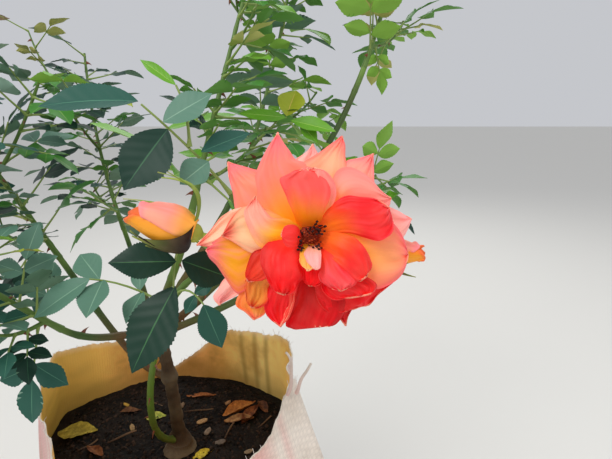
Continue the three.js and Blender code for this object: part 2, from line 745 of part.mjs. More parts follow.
function bloomGeometry() {
  const frame = axisFrame(bloom.centre, bloom.facing);
  const parts = petals.map(([angle, reach, width, rise, tipRise, edge, round]) =>
    bladeGeometry(frame, {
      angle,
      root: [bloom.rootRadius - 1, bloom.rootHeight],
      bend: [0.5 * reach, rise],
      tip: [reach, tipRise],
      width,
      edge,
      round,
      rootShare: 0.26,
      thickness: bloom.petalThickness,
      columns: width > 40 ? 2 : 1,
      rows: reach > 36 ? 3 : 2,
    }),
  );
  for (let i = 0; i < 5; i += 1) {
    parts.push(
      bladeGeometry(frame, {
        angle: 20 + 72 * i,
        root: [2.5, bloom.rootHeight - 2],
        bend: [14, bloom.rootHeight - 2],
        tip: [24, bloom.rootHeight - 14],
        width: 7,
        edge: -1,
        round: 1,
        rootShare: 0.6,
        thickness: 1,
        columns: 1,
        rows: 2,
      }),
    );
  }
  const hipFront = bloom.rootHeight + 1;
  parts.push(placedLathe(hipProfile(bloom.hipLength, bloom.hipRadius), 9, frame, hipFront));
  const tuft = [[0, -1], [4.5, -1], [6.4, 7], [4, 12], [0, 13]].map(([r, h]) => new THREE.Vector2(r, h));
  parts.push(placedLathe(tuft, 9, frame, hipFront));
  const back = inFrame(frame, 0, 0, hipFront - bloom.hipLength + 2);
  const stalk = stalkCurve([0.42, -0.4, 0.1], back, frame.forward);
  parts.push(limb(stalk, 1.8, 1.7, 5, evenShares(5)));
  return fuse(parts);
}

function budGeometry(row) {
  const axis = vec(row.tip).sub(vec(row.base));
  const length = axis.length();
  const frame = axisFrame(row.base, axis.toArray());
  const girths = [
    [0, 0],
    [1.7, 0],
    [0.5, 0.07],
    [0.5, 0.17],
    [0.9, 0.3],
    [1, 0.45],
    [0.86, 0.64],
    [0.5, 0.86],
    [0.13, 1],
    [0, 1],
  ];
  const profile = girths.map(([girth, share], i) =>
    new THREE.Vector2(i < 2 ? girth : girth * row.girth, share * length));
  const parts = [placedLathe(profile, 8, frame, 0)];
  for (const [angle, bendReach, bendRise, tipReach, tipRise, width] of row.sepals) {
    parts.push(
      bladeGeometry(frame, {
        angle,
        root: [0.35 * row.girth, 0.15 * length],
        bend: [bendReach, bendRise],
        tip: [tipReach, tipRise],
        width,
        edge: 0,
        round: 1,
        rootShare: 0.8,
        thickness: 1,
        columns: 1,
        rows: 3,
      }),
    );
  }
  const stalk = stalkCurve(row.leaves, inFrame(frame, 0, 0, 1.5), frame.forward);
  parts.push(limb(stalk, 1.6, 1.6, 5, evenShares(5)));
  return fuse(parts);
}

// The assembly: every piece is one named mesh
const bush = new THREE.Group();
function addPiece(name, geometry, paint) {
  const mesh = new THREE.Mesh(geometry, new THREE.MeshStandardMaterial(paint));
  mesh.name = name;
  bush.add(mesh);
}

addPiece("grow_bag", bagGeometry(), paints.bag);
addPiece("soil", soilGeometry(), paints.soil);
addPiece("trunk", trunkGeometry(), paints.wood);

for (const [name, row] of Object.entries(canes)) {
  const curve = caneCurve(row);
  addRod(curve, row.radii[0] + 2.4);
  addPiece("cane_" + name, limb(curve, ...row.radii, cane.sides, evenShares(cane.steps)), paints.cane);
}

const forkKnuckle = new THREE.IcosahedronGeometry(clusterFork.radius, 1);
forkKnuckle.translate(...clusterFork.centre);
addPiece("leaves_front", massGeometry(growShoot(canes.front), forkKnuckle), paints.leafBlue);
const leafPaints = [paints.leafDark, paints.leafBright, paints.leafBright, paints.leafDark];
Object.entries(masses).forEach(([name, row], i) => {
  const paint = leafPaints[i % leafPaints.length];
  addPiece("leaves_" + name, massGeometry(growMass(row, canes[name])), paint);
});

addPiece("bloom", bloomGeometry(), paints.petal);
for (const [name, row] of Object.entries(buds)) {
  addPiece("bud_" + name, budGeometry(row), paints.bud);
}

export default bush;
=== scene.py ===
import math

import bpy
import numpy as np
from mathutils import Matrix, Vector, noise


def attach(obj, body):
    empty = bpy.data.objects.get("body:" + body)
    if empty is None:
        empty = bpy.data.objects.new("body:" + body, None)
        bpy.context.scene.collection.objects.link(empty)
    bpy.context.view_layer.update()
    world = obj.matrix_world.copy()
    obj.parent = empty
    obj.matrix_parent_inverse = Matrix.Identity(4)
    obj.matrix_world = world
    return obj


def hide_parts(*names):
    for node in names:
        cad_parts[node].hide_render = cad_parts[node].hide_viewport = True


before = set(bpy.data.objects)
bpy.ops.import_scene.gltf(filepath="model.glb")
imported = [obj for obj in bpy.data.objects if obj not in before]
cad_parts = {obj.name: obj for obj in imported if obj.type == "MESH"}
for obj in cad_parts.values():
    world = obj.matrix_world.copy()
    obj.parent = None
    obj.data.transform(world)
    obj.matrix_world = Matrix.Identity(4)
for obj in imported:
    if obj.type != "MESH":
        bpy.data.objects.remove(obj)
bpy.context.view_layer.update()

print("frame loaded")

# Sizes below are in millimetres and turn into metres where a mesh is made
up = np.array([0.0, 0.0, 1.0])
goldenTurn = 137.5  # degrees from each leaf on a stem to the next one


def vec(*values):
    return np.array(values, float)


def unit(vector):
    return vector / max(float(np.linalg.norm(vector)), 1e-12)


def mix(low, high, share):
    return low + (high - low) * share


def ramp(low, high, value):
    share = np.clip((value - low) / (high - low), 0, 1)
    return share * share * (3 - 2 * share)


def sineOf(degrees):
    return np.sin(np.radians(degrees))


def cosSin(degrees):
    return np.cos(np.radians(degrees)), np.sin(np.radians(degrees))


def turned(vector, axis, angle):
    c, s = math.cos(angle), math.sin(angle)
    return vector * c + np.cross(axis, vector) * s + axis * (axis @ vector) * (1 - c)


def makeRandom(seed):
    state = [seed]

    def draw():
        state[0] = (state[0] * 48271) % 2147483647
        return state[0] / 2147483647

    return draw


def ripple(point, scale, seed=0.0):
    return noise.noise(Vector((point[0] * scale + seed, point[1] * scale, point[2] * scale)))


def ripples(points, scale, seed=0.0):
    values = [ripple(point, scale, seed) for point in np.reshape(points, (-1, 3))]
    return np.reshape(values, np.shape(points)[:-1])


def mottle(u, v, seed, across=1.0, along=1.0):  # soft noise over a sheet's own map
    return ripples(np.stack([u * across, v * along, 0 * u], axis=-1), 1.0, seed)


def sheetMap(rows, columns):  # shares along a sheet, from 0, and across it, from -1
    return np.meshgrid(np.linspace(0, 1, rows), np.linspace(-1, 1, columns), indexing="ij")


def lengthsAlong(line):
    return np.concatenate([[0], np.cumsum(np.linalg.norm(np.diff(line, axis=0), axis=1))])


def evenly(line, lengths, count):  # points on the line with even steps between them
    wanted = np.linspace(0, lengths[-1], count)
    return np.column_stack([np.interp(wanted, lengths, values) for values in line.T])


def blended(level, share):
    while len(level) > 1:
        level = [mix(a, b, share) for a, b in zip(level, level[1:])]
    return level[0]


class Curve:  # a Bezier curve with two, three or four points
    def __init__(self, *points):
        self.points = [np.asarray(point, float) for point in points]
        self.line = None

    def point(self, share):
        return blended(self.points, share)

    def tangent(self, share):
        return unit(blended([b - a for a, b in zip(self.points, self.points[1:])], share))

    def measured(self):
        if self.line is None:
            self.line = np.array([self.point(share) for share in np.linspace(0, 1, 61)])
            self.lengths = lengthsAlong(self.line)
        return self.line, self.lengths

    def length(self):
        return self.measured()[1][-1]

    def spaced(self, count):
        return evenly(*self.measured(), count + 1)


class Store:  # points and faces on their way to one mesh
    def __init__(self):
        self.points, self.faces, self.slots, self.corners, self.tints = [], [], [], [], []
        self.count = 0

    def add(self, points, faces, slot=0, corners=None, tint=None):  # the tint is one colour, or one a point
        points = np.reshape(points, (-1, 3))
        faces = np.asarray(faces, int)
        corners = np.zeros((faces.size, 2)) if corners is None else corners
        tint = np.zeros(3) if tint is None else tint
        self.points.append(points)
        self.faces.append(faces + self.count)
        self.slots.append(np.broadcast_to(slot, len(faces)))
        self.corners.append(np.reshape(corners, (-1, 2)))
        self.tints.append(np.broadcast_to(np.reshape(tint, (-1, 3)), points.shape))
        self.count += len(points)

    def addGrid(self, points, closed=False, slot=0, tint=None):
        faces, corners = gridFaces(points.shape[0], points.shape[1], closed)
        self.add(points, faces, slot, corners, tint)

    def addSheet(self, points, depth, tint, shade):  # a thin sheet with its upper and its lower face
        self.addGrid(points, tint=tint)
        self.addGrid(points[:, ::-1] - depth * up, tint=shade * tint[:, ::-1])

    def addFan(self, ring, hub, slot=0, tint=None, outward=True):
        count = len(ring)
        first = np.arange(count)
        second = (first + 1) % count
        order = [first, second] if outward else [second, first]
        self.add(np.vstack([ring, [hub]]), np.column_stack([*order, np.full(count, count)]), slot, None, tint)


def gridFaces(rows, columns, closed):
    wide = columns if closed else columns - 1
    i, j = np.meshgrid(np.arange(rows - 1), np.arange(wide), indexing="ij")
    i, j = i.ravel(), j.ravel()
    k = (j + 1) % columns
    low, high = i * columns, (i + 1) * columns
    faces = np.column_stack([low + j, low + k, high + k, high + j])
    across = np.column_stack([j, j + 1, j + 1, j]) / wide
    along = np.column_stack([i, i, i + 1, i + 1]) / (rows - 1)
    return faces, np.stack([across, along], axis=-1)


def addObject(name, data):
    made = bpy.data.objects.new(name, data)
    bpy.context.scene.collection.objects.link(made)
    return made


def settle(name, mesh, replaced=()):  # the mesh as a piece that rides on the plant's one body
    piece = addObject(name, mesh)
    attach(piece, "root")
    if replaced:
        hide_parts(*replaced)
    return piece


def buildPiece(name, store, materials, replaced=()):
    mesh = bpy.data.meshes.new(name)
    points = np.vstack(store.points) * 0.001
    loops = np.concatenate([faces.ravel() for faces in store.faces])
    sizes = np.concatenate([np.full(len(faces), faces.shape[1]) for faces in store.faces])
    starts = np.concatenate([[0], np.cumsum(sizes)[:-1]])
    mesh.vertices.add(len(points))
    mesh.vertices.foreach_set("co", points.astype(np.float32).ravel())
    mesh.loops.add(len(loops))
    mesh.loops.foreach_set("vertex_index", loops.astype(np.int32))
    mesh.polygons.add(len(sizes))
    mesh.polygons.foreach_set("loop_start", starts.astype(np.int32))
    mesh.polygons.foreach_set("material_index", np.concatenate(store.slots).astype(np.int32))
    mesh.polygons.foreach_set("use_smooth", np.full(len(sizes), True))
    corners, tints = np.vstack(store.corners), np.vstack(store.tints)
    if corners.any():
        layer = mesh.uv_layers.new(name="flat")
        layer.data.foreach_set("uv", corners.astype(np.float32).ravel())
    if tints.any():
        colours = np.column_stack([tints, np.ones(len(tints))])
        attribute = mesh.attributes.new("tint", "FLOAT_COLOR", "POINT")
        attribute.data.foreach_set("color", colours.astype(np.float32).ravel())
    mesh.update(calc_edges=True)
    mesh.validate()
    for material in materials:
        mesh.materials.append(material)
    return settle(name, mesh, replaced)


def thicken(piece, thickness, materialOffset=0):
    solid = piece.modifiers.new("thickness", "SOLIDIFY")
    solid.thickness = thickness
    solid.offset = -1
    solid.material_offset = materialOffset


# Colours and node trees
def hexColour(text):
    channels = [int(text[i:i + 2], 16) / 255 for i in (0, 2, 4)]
    return [c / 12.92 if c <= 0.04045 else ((c + 0.055) / 1.055) ** 2.4 for c in channels] + [1.0]


def tone(text):
    return np.array(hexColour(text)[:3])


def dyed(colour, text, share):  # a colour turned toward another, by a share for each point
    colour = tone(colour) if isinstance(colour, str) else colour
    return mix(colour, tone(text), np.asarray(share)[..., None])


class Tree:  # a node tree, with short ways to add and join its nodes
    def __init__(self, tree):
        self.tree, self.nodes = tree, tree.nodes

    def put(self, value, socket):  # a value, or the output of another node, into a socket
        if hasattr(value, "is_linked"):
            self.tree.links.new(value, socket)
        else:
            socket.default_value = value

    def node(self, kind, sockets=(), **settings):  # sockets by name or number, or one after the other
        made = self.nodes.new(kind)
        for key, value in settings.items():
            setattr(made, key, value)
        for key, value in sockets.items() if isinstance(sockets, dict) else enumerate(sockets):
            self.put(value, made.inputs[key])
        return made

    def math(self, kind, *values):
        return self.node("ShaderNodeMath", values, operation=kind).outputs[0]

    def place(self, output="Object"):
        return self.node("ShaderNodeTexCoord").outputs[output]

    def noise(self, vector, scale, detail, roughness=0.5):
        sockets = {"Vector": vector, "Scale": scale, "Detail": detail, "Roughness": roughness}
        return self.node("ShaderNodeTexNoise", sockets).outputs["Fac"]


class Painter(Tree):  # a material round its Principled BSDF
    def __init__(self, name, colour, roughness, specular=0.5):
        self.material = bpy.data.materials.new(name)
        self.material.use_nodes = True
        super().__init__(self.material.node_tree)
        self.shader = self.nodes["Principled BSDF"]
        self.feed(hexColour(colour), "Base Color")
        self.feed(roughness, "Roughness")
        self.feed(specular, "Specular IOR Level")

    def feed(self, value, socket):
        self.put(value, self.shader.inputs[socket])

    def range(self, *values):  # a number, then the low and high ends that it has and that it gets
        return self.node("ShaderNodeMapRange", values).outputs["Result"]

    def blend(self, share, first, second, mode="MIX"):
        sockets = {0: share, 6: first, 7: second}
        return self.node("ShaderNodeMix", sockets, data_type="RGBA", blend_type=mode).outputs[2]

    def shaded(self, colour, factor):  # the colour made darker or lighter by a number
        grey = self.node("ShaderNodeCombineColor", [factor] * 3).outputs[0]
        return self.blend(1.0, colour, grey, "MULTIPLY")

    def bump(self, height, strength, distance):
        sockets = {"Strength": strength, "Distance": distance, "Height": height}
        self.feed(self.node("ShaderNodeBump", sockets).outputs["Normal"], "Normal")

    def effect(self, group, **values):
        return self.node("ShaderNodeGroup", values, node_tree=group.tree).outputs

    def speckled(self, grain, low, high):  # the points' own colours, darker and lighter by fine noise
        speck = self.range(self.noise(self.place(), *grain), 0.3, 0.75, low, high)
        self.feed(self.shaded(self.tint(), speck), "Base Color")

    def glow(self, colour, strength):  # painted glow: the colour given off as light, which keeps it bright in shade, standing in for light that comes through a thin sheet
        self.feed(colour, "Emission Color")
        self.feed(strength, "Emission Strength")

    def tint(self):
        return self.node("ShaderNodeAttribute", attribute_name="tint").outputs["Color"]


class Group(Tree):  # a node group: inputs are given as a number to start from, or as the kind of socket
    def __init__(self, name, kind, inputs, outputs):
        super().__init__(bpy.data.node_groups.new(name, kind + "NodeTree"))
        for label, value in inputs.items():
            word = value if isinstance(value, str) else type(value).__name__.title()
            self.newSocket(label, "INPUT", word, value)
        for label, word in outputs.items():
            self.newSocket(label, "OUTPUT", word, word)
        self.start = self.nodes.new("NodeGroupInput").outputs
        self.end = self.nodes.new("NodeGroupOutput").inputs

    def newSocket(self, label, side, word, value):
        socket = self.tree.interface.new_socket(name=label, in_out=side, socket_type="NodeSocket" + word)
        if value != word:
            socket.default_value = value

    def give(self, **results):
        for label, source in results.items():
            self.put(source, self.end[label])
        return self

    def mapped(self, *labels):  # the sheet's own map, times the two inputs
        apart = self.node("ShaderNodeSeparateXYZ", [self.place("UV")]).outputs
        return [self.math("MULTIPLY", apart[i], self.start[label]) for i, label in enumerate(labels)]

    # What the trees of Geometry Nodes share
    def drawn(self, low, high):  # a number for each point, by the group's seed
        sockets = {2: low, 3: high, "Seed": self.start["Seed"]}
        return self.node("FunctionNodeRandomValue", sockets).outputs[1]

    def drawnVector(self, low, high, seed=0):
        sockets = {0: low, 1: high, "Seed": seed}
        return self.node("FunctionNodeRandomValue", sockets, data_type="FLOAT_VECTOR").outputs[0]

    def tube(self, start, middle, end, steps, sides, radius):  # a bent tube with closed ends
        line = self.node("GeometryNodeCurveQuadraticBezier", [steps, start, middle, end]).outputs[0]
        ring = self.node("GeometryNodeCurvePrimitiveCircle", {"Resolution": sides, "Radius": radius}).outputs[0]
        sockets = {"Curve": line, "Profile Curve": ring, "Fill Caps": True}
        return self.node("GeometryNodeCurveToMesh", sockets).outputs[0]

    def aligned(self, name, before=(), **settings):  # a turn toward the way that an attribute keeps
        way = self.node("GeometryNodeInputNamedAttribute", {"Name": name}, data_type="FLOAT_VECTOR").outputs[0]
        sockets = {"Vector": way, **dict(before)}
        return self.node("FunctionNodeAlignRotationToVector", sockets, **settings).outputs[0]

    def scattered(self, points, shape, turn, size):  # the shape at each point, as real mesh
        sockets = {"Points": points, "Instance": shape, "Rotation": turn, "Scale": size}
        laid = self.node("GeometryNodeInstanceOnPoints", sockets).outputs[0]
        return self.node("GeometryNodeRealizeInstances", [laid]).outputs[0]

    def painted(self, geometry, finish):
        return self.node("GeometryNodeSetMaterial", {"Geometry": geometry, "Material": finish}).outputs[0]


# What a group grows on a carrier of these points, as a plain piece
def growPiece(name, group, values, points, edges=(), faces=(), ways=None):
    mesh = bpy.data.meshes.new(name + "Carrier")
    mesh.from_pydata((np.reshape(points, (-1, 3)) * 0.001).tolist(), list(edges), list(faces))
    for key, vectors in (ways or {}).items():
        attribute = mesh.attributes.new(key, "FLOAT_VECTOR", "POINT")
        attribute.data.foreach_set("vector", np.array(vectors, np.float32).ravel())
    carrier = addObject(name + "Carrier", mesh)
    grower = carrier.modifiers.new(name, "NODES")
    grower.node_group = group.tree
    for socket in group.tree.interface.items_tree:
        if socket.in_out == "INPUT" and socket.name in values:
            grower[socket.identifier] = values[socket.name]
    bpy.context.view_layer.update()
    graph = bpy.context.evaluated_depsgraph_get()
    grown = bpy.data.meshes.new_from_object(carrier.evaluated_get(graph))
    grown.name = name
    carrier.modifiers.clear()
    bpy.data.objects.remove(carrier)
    return settle(name, grown)


# Flat tapes woven over and under each other, for the cloth of the bag
def tapeWeaveGroup():
    group = Group(
        "tapeWeave", "Shader", {"Around": 300.0, "Upward": 120.0}, {"Relief": "Float", "Over": "Float"})
    u, v = group.mapped("Around", "Upward")

    def ridge(value):
        return group.math("ABSOLUTE", group.math("SINE", group.math("MULTIPLY", value, math.pi)))

    over = group.math("PINGPONG", group.math("ADD", group.math("FLOOR", u), group.math("FLOOR", v)), 1.0)
    upright = group.math("MULTIPLY", ridge(u), over)
    level = group.math("MULTIPLY", ridge(v), group.math("SUBTRACT", 1.0, over))
    return group.give(Relief=group.math("POWER", group.math("ADD", upright, level), 0.5), Over=over)


# Fine furrows along a stem, with small warts between them
def barkGroup():
    group = Group(
        "barkGrain", "Shader", {"Furrows": 500.0, "Warts": 900.0}, {"Relief": "Float", "Patches": "Float"})
    place = group.place()
    stretched = group.node("ShaderNodeMapping", {"Vector": place, "Scale": (1, 1, 0.22)}).outputs[0]
    furrows = group.noise(stretched, group.start["Furrows"], 3.0)
    warts = group.math("MULTIPLY", group.noise(place, group.start["Warts"], 1.0), 0.4)
    return group.give(Relief=group.math("ADD", furrows, warts), Patches=group.noise(place, 60.0, 2.0))


# Fine veins that run the length of a petal or sepal, by its own map
def petalVeinGroup():
    group = Group(
        "petalVeins", "Shader", {"Veins": 46.0, "Wander": 3.0}, {"Relief": "Float", "Mottle": "Float"})
    joined = group.node("ShaderNodeCombineXYZ", group.mapped("Veins", "Wander")).outputs[0]
    return group.give(Relief=group.noise(joined, 1.0, 2.0), Mottle=group.noise(group.place(), 90.0, 3.0))


tapeWeave = tapeWeaveGroup()
barkGrain = barkGroup()
petalVeins = petalVeinGroup()


def clothMaterial(name, stain, roughness, glow, blotched):
    paint = Painter(name, "c8b09a", roughness, 0.4)
    weave = paint.effect(tapeWeave, Around=bagLook["tapesAround"], Upward=bagLook["tapesUp"])
    blotches = paint.noise(paint.place(), 14.0, 4.0, 0.6)
    dirty = paint.blend(paint.range(blotches, 0.48, 0.7, 0.0, blotched), paint.tint(), hexColour(stain))
    # painted shade: each tape darkens toward its edges, in the grooves between the tapes, and the cells where the
    # level tapes lie on top are a little darker
    shade = paint.range(weave["Over"], 0.0, 1.0, 0.96, 1.02)
    grain = paint.range(weave["Relief"], 0.0, 1.0, 0.9, 1.03)
    cloth = paint.shaded(dirty, paint.math("MULTIPLY", shade, grain))
    paint.feed(cloth, "Base Color")
    # painted glow: the cloth gives off its own colour as light, by the given share
    paint.glow(cloth, glow)
    paint.bump(weave["Relief"], 0.55, 0.0006)
    return paint.material


def barkMaterial(name, dull, roughness, strength):
    paint = Painter(name, dull, roughness, 0.35)
    bark = paint.effect(barkGrain)
    spots = paint.range(bark["Patches"], 0.45, 0.7, 0.0, 0.6)
    paint.feed(paint.blend(spots, paint.tint(), hexColour(dull)), "Base Color")
    paint.bump(bark["Relief"], strength, 0.0008)
    return paint.material


def petalMaterial(name, roughness=0.5, back=None):
    paint = Painter(name, "f0604a", roughness, 0.22)
    veins = paint.effect(petalVeins)
    pale = paint.range(veins["Mottle"], 0.4, 0.75, 0.0, 0.06)
    colour = paint.blend(pale, paint.tint(), hexColour("ffb49a"))
    if back is not None:
        colour = paint.blend(0.55, colour, hexColour(back))
    paint.feed(colour, "Base Color")
    # painted glow: petals, sepals, stalks and heart give off a little of their own colour, so they stay bright in
    # shade
    paint.glow(colour, 0.14)
    paint.bump(veins["Relief"], 0.25, 0.0006)
    return paint.material


def plainMaterial(name, colour, roughness, specular=0.4):
    return Painter(name, colour, roughness, specular).material


# Camera, light and floor
view = {
    "place": (0.1485, -0.426, 0.640), "pitch": 15, "focalPixels": 460, "pixelsWide": 612, "pixelsHigh": 459,
    "sensor": 36, "nearest": 0.01,
}
camera = addObject("camera", bpy.data.cameras.new("camera"))
bpy.context.scene.camera = camera
camera.location = view["place"]
camera.rotation_euler = (math.radians(90 - view["pitch"]), 0, 0)
camera.data.sensor_width = view["sensor"]
camera.data.lens = view["sensor"] * view["focalPixels"] / view["pixelsWide"]
camera.data.clip_start = view["nearest"]

lamps = {
    "skyColour": (0.93, 0.95, 1.0), "skyStrength": 0.6, "aim": (0.06, 0.0, 0.5),
    "rows": [  # place, size, power in watts, colour
        ((-0.7, -1.2, 2.0), 1.0, 21, (1.0, 0.98, 0.95)),
        ((1.6, -0.6, 1.7), 1.4, 8, (0.94, 0.97, 1.0)),
        ((0.2, 1.8, 2.0), 1.8, 16, (1.0, 1.0, 0.97)),
    ],
}
bpy.context.scene.view_settings.view_transform = "Standard"
world = bpy.data.worlds.new("studio")
bpy.context.scene.world = world
world.use_nodes = True
sky = world.node_tree.nodes["Background"]
sky.inputs["Color"].default_value = (*lamps["skyColour"], 1)
sky.inputs["Strength"].default_value = lamps["skyStrength"]
for i, (place, size, power, colour) in enumerate(lamps["rows"]):
    lamp = bpy.data.lights.new(f"softLamp{i}", "AREA")
    lamp.shape = "SQUARE"
    lamp.size = size
    lamp.energy = power
    lamp.color = colour
    holder = addObject(lamp.name, lamp)
    holder.location = place
    holder.rotation_euler = (Vector(lamps["aim"]) - Vector(place)).to_track_quat("-Z", "Y").to_euler()

floor = {"corners": ((-15, -15), (15, -15), (15, 15), (-15, 15)), "height": -0.0005}
floorMesh = bpy.data.meshes.new("studioFloor")
floorMesh.from_pydata([(*corner, floor["height"]) for corner in floor["corners"]], [], [(0, 1, 2, 3)])
floorMesh.materials.append(plainMaterial("paleFloor", "e8e6e0", 0.9, 0.1))
floorPlane = addObject("studioFloor", floorMesh)
print("camera, light and floor made")


def addTube(store, line, radii, sides, tint=None, wobble=None):
    tangents = np.gradient(line, axis=0)
    tangents /= np.linalg.norm(tangents, axis=1)[:, None]
    normal = unit(np.cross(tangents[0], vec(0.31, 0.95, 0.02)))
    rings = []
    turns = np.linspace(0, 2 * np.pi, sides, endpoint=False)
    for i, (centre, tangent) in enumerate(zip(line, tangents)):
        normal = unit(normal - tangent * (normal @ tangent))
        binormal = np.cross(tangent, normal)
        spokes = np.cos(turns)[:, None] * normal + np.sin(turns)[:, None] * binormal
        radius = radii[i] * (1 if wobble is None else wobble(i, turns, centre, spokes))
        rings.append(centre + spokes * np.reshape(radius, (-1, 1)))
    tint = np.zeros_like(line) if tint is None else tint
    store.addGrid(np.array(rings), closed=True, tint=np.repeat(tint, sides, axis=0))
    store.addFan(rings[0], line[0], tint=tint[0], outward=False)
    store.addFan(rings[-1], line[-1], tint=tint[-1])


# The bag's outline, by the same rule as its solid
bag = {
    "height": 340, "rimRadius": 132, "bellyOut": 9, "footIn": 22, "cloth": 1.3, "hiddenCloth": 7, "lastBand": 278,
    "earAngle": -30, "cornerOut": 64, "cornerBefore": 50, "cornerAfter": 24, "cornerLean": 0.48,
    "farCorner": (160, 14, 30), "flatFront": (-132, -17, 66),  # angle, bulge, spread
    "folds": ((3.4, 3, 35, 0), (2.4, 5, 110, 0.5), (1.5, 9, 0, -0.7)),  # size, count, phase, turn with height
    "hub": (7, 4), "wallLevels": (12, 40, 110, 200, 250),
}
# The torn rim's height at each angle round the bag, with the standing corner and the sunk fold
rimOutline = [
    (-180, 357), (-114, 357), (-78, 347), (-54, 355), (-42, 382), (-30, 415), (-18, 388), (28, 380),
    (42, 368), (67, 359), (80, 340), (103, 297), (114, 338), (137, 358), (162, 365), (180, 357),
]
bagLook = {
    "columns": 420, "lowRows": 44, "collarRows": 22, "wrinkle": 1.9, "fray": 1.1, "seed": 41,
    "tapesAround": 330, "tapesUp": 150,
    "outside": "d9c3b8", "outsidePink": "cf8f8f", "outsideFoot": "a88f78",
    "inside": "ffc863", "insideOrange": "ffb468", "insideCream": "ffe08a", "insideEdge": "ffdcae",
    # the darkest inside colour is painted shade low in the bag, near the soil, and also dark stains on the olive
    # wall
    "insideOlive": "b4943a", "insideShadeAndStain": "7a5c24",
    "stripe": "7a6428", "stripes": (58.6, 50.8, 42.4), "stripeWide": 2.4,
    "earWhite": "ece0d2", "earPink": "e0a79f",
}


def pulse(distance, before, after):
    return np.where(distance < 0, np.maximum(0, 1 + distance / before), np.maximum(0, 1 - distance / after))


def turnFrom(angle, place):
    return np.mod(angle - place + 180, 360) - 180


def rimHeight(angle):
    places, heights = zip(*rimOutline)
    return np.interp(turnFrom(angle, 0), places, heights) + 1.5 * sineOf(7 * angle)


def bulge(row, angle):
    place, out, spread = row
    return out * pulse(turnFrom(angle, place), spread, spread)


def bagRadius(angle, height):
    share = np.minimum(1, height / bag["height"])
    belly = bag["bellyOut"] * np.sin(np.pi * share)
    tuck = bag["footIn"] * np.exp(-height / 13)
    folds = sum(size * sineOf(count * angle + phase + turn * height) for size, count, phase, turn in bag["folds"])
    seam = pulse(turnFrom(angle, bag["earAngle"]), bag["cornerBefore"], bag["cornerAfter"]) ** 1.4
    swell = bag["cornerOut"] * ramp(60, bag["height"] + 30, height)
    lean = bag["cornerLean"] * np.maximum(0, height - bag["height"])
    flat = (bulge(bag["farCorner"], angle) + bulge(bag["flatFront"], angle)) * ramp(60, 300, height)
    return bag["rimRadius"] + belly - tuck + folds * (0.25 + 0.75 * share) + (swell - lean) * seam + flat


def clothRadius(angle, height):  # with the cloth's creases: upright ones by the rim, slack ones lower down
    upright = np.sin(np.radians(23 * angle + 14 * np.sin(height / 21))) * ramp(200, 340, height)
    slack = np.sin(height / 9.5 + 2.2 * sineOf(2 * angle + 40)) * (1 - ramp(120, 260, height))
    skew = np.sin(np.radians(11 * angle) + height / 34)
    creases = ramp(0, 24, height) * (0.55 * upright + 0.45 * slack + 0.5 * skew)
    return bagRadius(angle, height) + bagLook["wrinkle"] * creases


def ringPoints(angle, radius, height):
    c, s = cosSin(angle)
    return np.stack(np.broadcast_arrays(radius * c, radius * s, height), axis=-1)


def coated(base, *coats):  # one of the bag's colours with others over it, each by a share
    colour = tone(bagLook[base])
    for name, share in coats:
        colour = dyed(colour, bagLook[name], share)
    return colour


def outsideTint(angle, height):
    pink = np.clip(0.25 + 0.8 * sineOf(4 * angle + 10), 0, 1)
    streak = np.clip(sineOf(61 * angle) + 0.6 * sineOf(37 * angle + 20) - 0.7, 0, 1)
    foot = 1 - ramp(10, 120, height)
    ear = np.minimum(1, 1.6 * pulse(turnFrom(angle, bag["earAngle"]), 40, 22)) * ramp(290, 345, height)
    blush = ear * (bulge((-47, 1.0, 6), angle) + bulge((-38.5, 0.5, 2.0), angle))
    return coated(
        "outside", ("outsidePink", 0.55 * pink), ("outsidePink", 0.5 * streak), ("outsideFoot", 0.7 * foot),
        ("earWhite", 0.9 * ear), ("earPink", np.clip(blush, 0, 1)))


def insideTint(angle, height):
    orange = np.minimum(1, 1.5 * pulse(turnFrom(angle, 104), 48, 40))
    olive = np.minimum(1, 1.5 * pulse(turnFrom(angle, 182), 46, 46)) * (1.1 - 0.5 * ramp(300, 350, height))
    cream = pulse(turnFrom(angle, 47), 26, 26) ** 0.6
    stripes = [bulge((place, 0.62, bagLook["stripeWide"]), angle) for place in bagLook["stripes"]]
    stain = mottle(angle / 14, height / 16, 6.0)
    # painted shade: the wall darkens toward the soil, low in the bag; the same colour also makes dark stains on the
    # olive wall
    shadeAndStain = (1 - ramp(286, 322, height + 14 * stain)) + 0.8 * olive * np.clip(1.6 * stain, 0, 1)
    edge = ramp(-7, 0, height - rimHeight(angle))
    return coated(
        "inside", ("insideOrange", 0.85 * orange), ("insideOlive", 0.75 * olive), ("insideCream", 0.8 * cream),
        *[("stripe", np.minimum(0.5, stripe)) for stripe in stripes],
        ("insideShadeAndStain", np.clip(0.5 * shadeAndStain, 0, 0.6)), ("insideEdge", 0.7 * edge))


def bagSurface(inset, levels, collar, rimJitter):
    angles = np.linspace(-180, 180, bagLook["columns"], endpoint=False)
    rim = rimHeight(angles) + rimJitter
    low = [np.full_like(angles, level) for level in levels]
    height = np.array(low + [mix(bag["lastBand"], rim, share) for share in collar])
    angle = np.broadcast_to(angles, height.shape)
    return angle, height, ringPoints(angle, clothRadius(angle, height) - inset, height)


